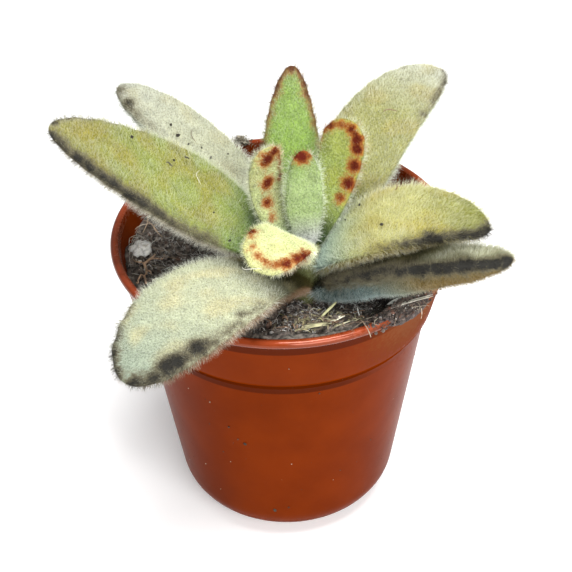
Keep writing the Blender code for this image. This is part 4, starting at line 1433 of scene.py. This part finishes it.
# %% Straw, chips and the root, in place of their plain solids
# x, y, heading, length, width, bow and lift in millimetres and degrees, then the tone
CHIPS = {
    "straw_long": (19.2, -19.6, 17, 7.2, 0.6, 0.2, 1.75, (0.70, 0.65, 0.56)),
    "straw_short": (16.9, -18.5, 46, 2.9, 0.7, 0.2, 2.0, (0.85, 0.82, 0.76)),
    "straw_pale": (8.1, -20.6, 48, 2.6, 0.8, 0.1, 0.95, (0.82, 0.78, 0.60)),
    "straw_front": (4.8, -23.0, 12, 4.4, 0.9, 0.2, 0.95, (0.36, 0.34, 0.18)),
    "straw_back": (15.3, 19.6, 78, 5.0, 0.7, 0.6, 1.6, (0.85, 0.83, 0.72)),
}
CHIP_FIBRES = 4
CHIP_STATIONS = 14
ROOT_TONE = np.array([0.60, 0.38, 0.24])


def make_chip(name, seed):
    """Split fibres side by side, bowed and frayed, in place of the plain chip."""
    x, y, heading, length, width, bow, rise, tone = CHIPS[name]
    rng = np.random.default_rng(seed)
    turn = math.radians(heading)
    way, aside = np.array([math.cos(turn), math.sin(turn)]), np.array([-math.sin(turn), math.cos(turn)])
    share = np.linspace(-0.5, 0.5, CHIP_STATIONS)[None] * rng.uniform(0.75, 1.0, (CHIP_FIBRES, 1))
    share = share + rng.uniform(-0.1, 0.1, (CHIP_FIBRES, 1))
    offset = (np.arange(CHIP_FIBRES) / (CHIP_FIBRES - 1) - 0.5)[:, None] * width * 0.7
    stray = rng.normal(0, 0.012, (CHIP_FIBRES, CHIP_STATIONS)).cumsum(1)
    spread = offset * (1 + 0.5 * np.abs(share)) + stray
    place = (np.array([x, y]) + share[..., None] * length * way + spread[..., None] * aside) * MM
    lift = (rise + bow * np.cos(np.pi * share) + rng.uniform(0, 0.15, (CHIP_FIBRES, 1))) * MM
    z = peat_height(place[..., 0], place[..., 1]) + lift
    thick = width / CHIP_FIBRES * 0.85 * MM
    radius = taper(CHIP_STATIONS, thick * rng.uniform(0.8, 1.1, CHIP_FIBRES), 0.25)
    points, faces = strands(np.concatenate([place, z[..., None]], -1), radius, 6, 0.45)
    tone = np.array(tone) * (1 + 0.25 * soft_noise(points * [1, 1, 0.2], 1.2 * MM, seed))[:, None]
    return add_piece(name + "_fibres", points, faces, DRY_STRAW, (name,), {"tone": tone})


# x and y of the root's bends, then its side shoots, in millimetres, and the radius of each
ROOT = (
    ((-20.6, 0.4), (-21.2, -1.6), (-22.2, -3.1), (-21.6, -5.1), (-21.9, -7.0), (-21.5, -9.4), 0.23),
    ((-21.0, -1.2), (-20.5, -1.3), (-20.0, -1.0), (-19.6, -0.6), (-19.3, 0.0), (-19.1, 0.5), 0.13),
    ((-22.1, -3.0), (-22.6, -2.8), (-23.0, -2.9), (-23.4, -2.7), (-23.7, -2.3), (-23.9, -2.2), 0.12),
    ((-21.7, -5.0), (-21.2, -5.5), (-20.9, -6.1), (-20.9, -6.8), (-20.6, -7.4), (-20.2, -7.8), 0.15),
    ((-21.9, -6.8), (-22.4, -7.3), (-22.7, -8.0), (-22.7, -8.7), (-22.9, -9.2), (-23.0, -9.6), 0.12),
)


def make_root():
    """One bent root with four thin shoots, in place of the plain strip."""
    rng = np.random.default_rng(79)
    bends = np.array([row[:6] for row in ROOT])
    fine = np.linspace(0, 5, 16)
    paths = np.array([[np.interp(fine, range(6), row[:, k]) for k in (0, 1)] for row in bends])
    paths = paths.transpose(0, 2, 1) + rng.normal(0, 0.05, (len(bends), len(fine), 2))
    lift = 0.7 + 0.5 * np.sin(fine * 1.3)[None] * rng.uniform(0.2, 0.8, (len(bends), 1))
    z = peat_height(paths[..., 0] * MM, paths[..., 1] * MM) + lift * MM
    radius = taper(len(fine), np.array([row[6] for row in ROOT]) * MM, 0.5)
    points, faces = strands(np.concatenate([paths * MM, z[..., None]], -1), radius, 6)
    tone = ROOT_TONE * (1 + 0.3 * soft_noise(points, 1.2 * MM, 79))[:, None]
    return add_piece("root_left_strands", points, faces, DRY_STRAW, ("root_left",), {"tone": tone})


for seed, name in enumerate(CHIPS):
    make_chip(name, 80 + seed)
make_root()
print("chips:", sum(TRIANGLES[name + "_fibres"] for name in CHIPS), "triangles")

# %% [markdown]
# ## Litter on the peat
#
# Olive chaff lies in a patch at the front, single sticks lie apart, some thin roots hang over
# the lip at the right, a tuft of moss sits on the lip at the back, and a lump of perlite,
# popped volcanic glass that keeps the mix airy, sits at the left with root hairs over it.

# %% Chaff, sticks, roots over the lip, perlite and moss
CHAFF_TONES = ((0.26, 0.23, 0.10), (0.16, 0.13, 0.06), (0.44, 0.40, 0.24), (0.09, 0.06, 0.035),
               (0.10, 0.07, 0.045), (0.20, 0.11, 0.06))
LIP_ROOT_TONES = ((0.36, 0.27, 0.18), (0.24, 0.14, 0.08), (0.46, 0.40, 0.30))
PERLITE_TONE = np.array([0.88, 0.90, 0.87])
PERLITE_ROOT_TONES = ((0.55, 0.50, 0.42), (0.40, 0.28, 0.18), (0.66, 0.64, 0.58))
MOSS_LUMP_TONES = ((0.20, 0.17, 0.11), (0.30, 0.27, 0.20))
MOSS_TONES = ((0.40, 0.37, 0.28), (0.26, 0.24, 0.15), (0.52, 0.50, 0.42))
MOSS_TURN = math.radians(105.0)
PERLITE_SHIFT = np.array([-0.3, -1.1, -0.5]) * MM       # from the plain lump
PERLITE_WHITE = earthy("perlite_white", 0.9, 0.8, 0.25, 1200.0, 1600.0)


def tinted(count, rng, tones, spread=0.25):
    """One tone for each strand, chosen from a few."""
    tones = np.array(tones)
    return tones[rng.integers(0, len(tones), count)] * rng.uniform(1 - spread, 1 + spread, (count, 1))


def keep_inside(paths, radius):
    """Pulls what lies beyond a radius back onto it."""
    pull = np.minimum(1.0, radius / np.hypot(paths[..., 0], paths[..., 1]))
    paths[..., :2] *= pull[..., None]


def make_chaff():
    """Short flat flakes lying every way in a patch at the front."""
    rng = np.random.default_rng(91)
    count, stations = 260, 5
    start = np.stack([rng.normal(5.2, 3.6, count), rng.normal(-21.6, 2.2, count)], -1) * MM
    start = start[np.hypot(start[:, 0], start[:, 1]) < 24.6 * MM]
    count = len(start)
    length = (0.5 + 2.2 * rng.uniform(0, 1, count) ** 2) * MM
    paths = wandering(start, rng.uniform(0, 2 * np.pi, count), length, rng, stations, 0.5)
    keep_inside(paths, 25.0 * MM)
    paths = lay_on_peat(paths, 0.45 * MM * rng.uniform(0.5, 1.8, (count, 1)), rng, 0.9 * MM)
    radius = taper(stations, (0.05 + 0.13 * rng.uniform(0, 1, count) ** 2) * MM)
    points, faces = strands(paths, radius, 5, 0.4)
    return add_litter("chaff", points, faces, DRY_STRAW, tinted(count, rng, CHAFF_TONES, 0.45))


def make_lip_roots():
    """Thin roots that start in the peat, cross the lip and droop outside."""
    rng = np.random.default_rng(92)
    count, stations = 16, 14
    turn = np.radians(rng.normal(MOUND_TURN, 11, count))
    share = np.linspace(0, 1, stations)[None]
    reach = (23.4 + share * rng.uniform(3.2, 5.6, (count, 1))) * MM
    bend = turn[:, None] + np.cumsum(rng.normal(0, 0.02, (count, stations)), 1)
    bend = bend + share * rng.normal(0, 0.18, (count, 1))
    x, y = reach * np.cos(bend), reach * np.sin(bend)
    droop = np.clip(reach / MM - 27.6, 0, 9) ** 1.5 * rng.uniform(0.4, 1.3, (count, 1))
    over = smooth_step(24.0 * MM, 26.2 * MM, reach)
    on_lip = POT_HEIGHT + rng.uniform(0.1, 0.7, (count, 1)) * MM
    z = (peat_height(x, y) + 0.5 * MM) * (1 - over) + on_lip * over - droop * MM
    paths = np.stack([x, y, z], -1)
    radius = taper(stations, rng.uniform(0.025, 0.055, count) * MM, 0.35)
    points, faces = strands(paths, radius, 4)
    return add_litter("lip_roots", points, faces, DRY_STRAW, tinted(count, rng, LIP_ROOT_TONES))


# x, y, z of three bends in millimetres, radius, and tone of the sticks that lie apart
STICKS = (
    ((5.6, -19.6, 49.6), (6.8, -18.5, 50.2), (7.9, -17.5, 50.7), 0.26, (0.40, 0.40, 0.19)),
    ((11.1, -18.6, 50.5), (11.2, -19.7, 50.6), (11.4, -20.8, 50.5), 0.10, (0.85, 0.84, 0.78)),
    ((11.4, -21.9, 50.9), (12.2, -25.2, 52.1), (12.8, -27.0, 51.6), 0.09, (0.34, 0.24, 0.16)),
    ((15.8, -15.4, 51.3), (16.3, -16.0, 51.0), (16.8, -16.6, 50.7), 0.09, (0.80, 0.79, 0.75)),
    ((20.3, -17.9, 51.3), (20.9, -18.7, 50.0), (20.9, -18.8, 48.2), 0.08, (0.60, 0.46, 0.34)),
    ((7.4, -22.8, 50.2), (8.6, -22.6, 50.6), (9.9, -21.9, 50.6), 0.13, (0.55, 0.52, 0.34)),
    ((-22.9, 9.6, 46.9), (-21.6, 8.2, 47.4), (-20.2, 5.9, 47.0), 0.09, (0.42, 0.29, 0.18)),
    ((-24.0, 6.4, 47.6), (-22.9, 7.4, 47.7), (-21.2, 8.3, 47.2), 0.07, (0.62, 0.52, 0.40)),
    ((-22.3, 11.0, 46.9), (-22.1, 8.2, 47.6), (-22.7, 5.2, 47.8), 0.08, (0.46, 0.32, 0.20)),
    ((-20.4, 9.0, 46.6), (-21.0, 7.0, 47.4), (-19.6, 5.0, 47.0), 0.07, (0.55, 0.40, 0.26)),
    ((1.6, -23.6, 50.2), (2.6, -23.2, 50.4), (3.7, -23.3, 50.4), 0.16, (0.50, 0.48, 0.30)),
)


def make_sticks():
    """Single sticks as smooth curves through three bends."""
    bends = np.array([row[:3] for row in STICKS])
    t = np.linspace(0, 1, 9)[None, :, None]
    control = 2 * bends[:, 1:2] - (bends[:, :1] + bends[:, 2:]) / 2
    paths = ((1 - t) ** 2 * bends[:, :1] + 2 * t * (1 - t) * control + t ** 2 * bends[:, 2:]) * MM
    radius = taper(9, np.array([row[3] for row in STICKS]) * MM, 0.5)
    points, faces = strands(paths, radius, 6, 0.6)
    return add_litter("sticks", points, faces, DRY_STRAW, np.array([row[4] for row in STICKS]))


def make_perlite():
    """A sphere grid pushed in and out by noise of three sizes, then root hairs over it."""
    low, high = (np.array(corner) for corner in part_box("perlite_lump"))
    middle, half = (low + high) / 2 + PERLITE_SHIFT, (high - low) / 2
    rings, sides = 34, 44
    rise = np.linspace(-np.pi / 2, np.pi / 2, rings + 2)[1:-1]
    turn = full_turn(sides)
    r, t = (g.ravel() for g in np.meshgrid(rise, turn, indexing="ij"))
    way = np.stack([np.cos(r) * np.cos(t), np.cos(r) * np.sin(t), np.sin(r)], -1)
    way = np.concatenate([[[0, 0, -1.0]], way, [[0, 0, 1.0]]])
    bumps = (1 + 0.17 * soft_noise(way, 1.3, 93) + 0.06 * soft_noise(way, 0.45, 94)
             + 0.07 * soft_noise(way, 0.22, 95))
    points = middle + way * half * np.array([0.9, 0.9, 0.75]) * bumps[:, None]
    faces, uv = closed_grid(rings, sides)
    tone = np.clip(PERLITE_TONE * (1 + 0.30 * soft_noise(way, 0.22, 96))[:, None], 0.25, 0.96)
    add_piece("perlite_grain", points, faces, PERLITE_WHITE, ("perlite_lump",),
              {"tone": tone}, uv)
    rng = np.random.default_rng(97)
    count, stations = 70, 5
    start = middle[:2] + rng.normal(0, 2.4, (count, 2)) * MM
    heading, length = rng.uniform(0, 2 * np.pi, count), rng.uniform(0.8, 3.2, count) * MM
    paths = wandering(start, heading, length, rng, stations, 0.5)
    keep_inside(paths, 24.6 * MM)
    near = np.linalg.norm((paths[..., :2] - middle[:2]) / half[:2], axis=-1)
    cover = half[2] * 2 * np.sqrt(np.clip(1 - (near * 0.85) ** 2, 0, 1))
    paths[..., 2] = (peat_height(paths[..., 0], paths[..., 1]) + 0.5 * MM + cover
                     + rng.uniform(0, 0.5, (count, 1)) * MM)
    radius = taper(stations, rng.uniform(0.02, 0.045, count) * MM)
    points, faces = strands(paths, radius, 3)
    add_litter("perlite_roots", points, faces, DRY_STRAW, tinted(count, rng, PERLITE_ROOT_TONES))


def make_moss():
    """A soft tuft on the lip at the back: needles standing out of a few lumps."""
    rng = np.random.default_rng(98)
    middle = np.array([26.9 * math.cos(MOSS_TURN), 26.9 * math.sin(MOSS_TURN), 51.2]) * MM
    count = 22
    centres = middle + rng.normal(0, 1, (count, 3)) * np.array([0.8, 0.5, 0.3]) * MM
    points, faces = lumps(centres, rng.uniform(0.25, 0.55, count) * MM, rng)
    add_litter("moss_lumps", points, [faces], PEAT_EARTH, tinted(count, rng, MOSS_LUMP_TONES), False)
    count = 600
    root = middle + rng.normal(0, 1, (count, 3)) * np.array([0.9, 0.6, 0.35]) * MM
    way = unit(rng.normal(0, 1, (count, 3)) + [0, 0, 0.5])
    hairs = needles(root, way, rng.uniform(0.3, 0.9, count) * MM, np.full(count, 0.07 * MM)).reshape(-1, 3)
    tone = np.repeat(tinted(count, rng, MOSS_TONES), 4, 0)
    add_piece("moss_hairs", hairs, [needle_faces(count)], DRY_STRAW, (),
              {"tone": tone}, needle_map(count), False)


make_chaff()
make_sticks()
make_lip_roots()
make_perlite()
make_moss()
LITTER = ("chaff", "sticks", "lip_roots", "perlite_grain", "perlite_roots", "moss_lumps", "moss_hairs")
print("litter:", sum(TRIANGLES[name] for name in LITTER), "triangles")

# %% [markdown]
# ## Specks and lint
#
# A plant from the nursery is never clean. Black crumbs of peat and curled brown fibres lie in
# the felt, and dust sticks to the pot. Each is placed on its leaf by the same share and angle
# as the marks, so it lies on the surface from every side.

# %% Specks on leaves and pot
# share, angle, and radius in millimetres
LEAF_SPECKS = {
    "leaf_left": ((0.715, 61, 0.30), (0.550, 70, 0.26), (0.270, 150, 0.24), (0.36, 110, 0.20)),
    "leaf_back_left": ((0.722, 117, 0.32), (0.672, 123, 0.36), (0.619, 124, 0.22), (0.58, 108, 0.26),
                       (0.527, 108, 0.30), (0.50, 80, 0.20)),
    "leaf_right_upper": ((0.428, 66, 0.34), (0.31, 121, 0.24), (0.224, 108, 0.18)),
    "leaf_back_right": ((0.46, 120, 0.20),),
    "leaf_front_left": ((0.20, 80, 0.3),),
}
# leaf, share, angle, heading against the leaf, length, radius, tone
LINT = (
    ("leaf_left", 0.545, 82, 5, 1.5, 0.12, (0.012, 0.010, 0.008)),
    ("leaf_left", 0.515, 54, 120, 1.3, 0.12, (0.012, 0.010, 0.008)),
    ("leaf_left", 0.45, 66, 100, 3.6, 0.04, (0.85, 0.84, 0.72)),
    ("leaf_back_left", 0.656, 92, 140, 3.0, 0.06, (0.10, 0.06, 0.03)),
    ("leaf_back_right", 0.62, 66, 120, 2.6, 0.08, (0.16, 0.07, 0.03)),
    ("leaf_right_upper", 0.49, 124, 80, 2.2, 0.08, (0.18, 0.08, 0.03)),
    ("leaf_front_left", 0.36, 84, 100, 2.6, 0.06, (0.85, 0.84, 0.76)),
    ("leaf_front_left", 0.33, 92, 80, 1.8, 0.05, (0.85, 0.84, 0.76)),
)
LINT_STATIONS = 10
# direction in degrees, height and radius in millimetres
POT_SPECKS = ((-109.0, 23.8, 0.34), (-115.5, 27.2, 0.22), (-97.2, 7.2, 0.26), (-90, 8.0, 0.16),
              (-64, 15.5, 0.15), (-112, 24.6, 0.18), (-48, 19.8, 0.14), (-77, 36.6, 0.16))
TINY_SPECKS = 110
SPECK_RISE = 0.78 * MM      # they lie on the hairs, not on the skin
SPECK_TONE = (0.020, 0.015, 0.010)
POT_SPECK_TONES = ((0.45, 0.36, 0.26), (0.035, 0.022, 0.014))


def make_leaf_specks():
    """Dark crumbs caught in the hairs."""
    rng = np.random.default_rng(101)
    centres, sizes = [], []
    for name, rows in LEAF_SPECKS.items():
        leaf, seed = LEAVES[name], list(LEAVES).index(name)
        share, angle, size = np.array(rows).T
        angle = np.radians(angle)
        normal = leaf_normals(leaf, share, angle, seed)[0]
        centres.append(leaf_surface(leaf, share, angle, seed) + normal * SPECK_RISE)
        sizes.append(size * MM)
    points, faces = lumps(np.concatenate(centres), np.concatenate(sizes), rng, 0.6)
    tone = np.tile(SPECK_TONE, (len(points) // len(LUMP), 1))
    return add_litter("leaf_specks", points, [faces], PEAT_DARK, tone, False)


def make_lint():
    """Curled fibres: arcs that lie in the surface a hair's height above the skin."""
    rng = np.random.default_rng(102)
    paths, radii = [], []
    run = np.linspace(-0.5, 0.5, LINT_STATIONS)
    for name, share, angle, turn, length, radius, _ in LINT:
        leaf, seed = LEAVES[name], list(LEAVES).index(name)
        bend = math.radians(turn) + run * rng.uniform(0.8, 2.0)
        step = length / LINT_STATIONS
        x, y = np.cumsum(np.cos(bend)) * step, np.cumsum(np.sin(bend)) * step
        half = outline(np.array([share]), leaf, leaf.base_width)[0] * leaf.width / 2
        s = np.clip(share + x / leaf.length, 0.02, 0.98)
        a = np.radians(angle) + y / half
        normal = leaf_normals(leaf, s, a, seed)[0]
        lift = SPECK_RISE * (1.35 + 0.25 * np.sin(run * 5))
        paths.append(leaf_surface(leaf, s, a, seed) + normal * lift[:, None])
        radii.append(radius * MM * np.sqrt(1 - (2 * run) ** 2 * 0.8))
    points, faces = strands(np.array(paths), np.array(radii), 5)
    return add_litter("leaf_lint", points, faces, DRY_STRAW, np.array([row[6] for row in LINT]))


def make_pot_specks():
    """Crumbs of peat stuck to the wall, a few placed and many tiny."""
    rng = np.random.default_rng(103)
    many = np.stack([rng.uniform(-180, 180, TINY_SPECKS), rng.uniform(4, 48, TINY_SPECKS),
                     rng.uniform(0.03, 0.11, TINY_SPECKS)], -1)
    spots = np.concatenate([np.array(POT_SPECKS), many])
    wall = outside_profile()
    wall = wall[np.argsort(wall[:, 1])]
    radius = np.interp(spots[:, 1] * MM, wall[:, 1], wall[:, 0])
    turn = np.radians(spots[:, 0])
    centres = np.stack([radius * np.cos(turn), radius * np.sin(turn), spots[:, 1] * MM], -1)
    points, faces = lumps(centres, spots[:, 2] * MM, rng)
    pale = (rng.uniform(size=(len(spots), 1)) < 0.35) & (spots[:, 2:] < 0.12)
    tone = np.where(pale, *POT_SPECK_TONES)
    return add_litter("pot_specks", points, [faces], PEAT_DARK, tone, False)


make_leaf_specks()
make_lint()
make_pot_specks()
print("specks:", TRIANGLES["leaf_specks"] + TRIANGLES["leaf_lint"] + TRIANGLES["pot_specks"], "triangles")

# %% [markdown]
# ## Floor and light
#
# The plant stands on a plain pale floor. Most of the light comes from a soft box high above
# and to the right, so the tops of the leaves are bright and the gaps between them fall into
# deep soft shade. A second, weaker box in front and an even sky fill the rest.

# %% Stage
SKY_STRENGTH = 0.35
# place, size across and power of each soft box
SOFT_BOXES = {"key": ((0.12, -0.12, 0.85), 0.38, 9.0), "fill": ((0.28, -0.70, 0.42), 0.50, 8.0)}
LIGHT_TARGET = Vector((0, 0, 0.05))
FLOOR_HALF = 2.0
PAPER = (0.93, 0.93, 0.93, 1.0)
WHITE = (1.0, 1.0, 1.0, 1.0)
PAPER_GLOW = 0.2


def make_floor():
    """One pale square far larger than the view."""
    points = np.array([[-1, -1, 0], [1, -1, 0], [1, 1, 0], [-1, 1, 0]]) * FLOOR_HALF
    mesh = bpy.data.meshes.new("floor")
    mesh.from_pydata(points.tolist(), [], [[0, 1, 2, 3]])
    paper, _, shader = start_material("pale_paper", 0.9)
    shader.inputs["Base Color"].default_value = PAPER
    shader.inputs["Emission Color"].default_value = WHITE
    shader.inputs["Emission Strength"].default_value = PAPER_GLOW
    mesh.materials.append(paper)
    floor = bpy.data.objects.new("floor", mesh)
    bpy.context.collection.objects.link(floor)


def make_light():
    """Soft boxes that look at the plant, and a pale sky."""
    sky = bpy.data.worlds.new("sky")
    sky.use_nodes = True
    background = sky.node_tree.nodes["Background"]
    background.inputs["Color"].default_value = WHITE
    background.inputs["Strength"].default_value = SKY_STRENGTH
    bpy.context.scene.world = sky
    for name, (place, size, power) in SOFT_BOXES.items():
        data = bpy.data.lights.new(name, "AREA")
        data.energy = power
        data.size = size
        box = bpy.data.objects.new(name, data)
        way = LIGHT_TARGET - Vector(place)
        box.matrix_world = Matrix.Translation(place) @ way.to_track_quat("-Z", "Y").to_matrix().to_4x4()
        bpy.context.collection.objects.link(box)


make_floor()
make_light()
bpy.context.scene.view_settings.view_transform = "Standard"

# %% Sizes and the last line
print("largest piece:", max(TRIANGLES.values()), "triangles; all:", sum(TRIANGLES.values()))
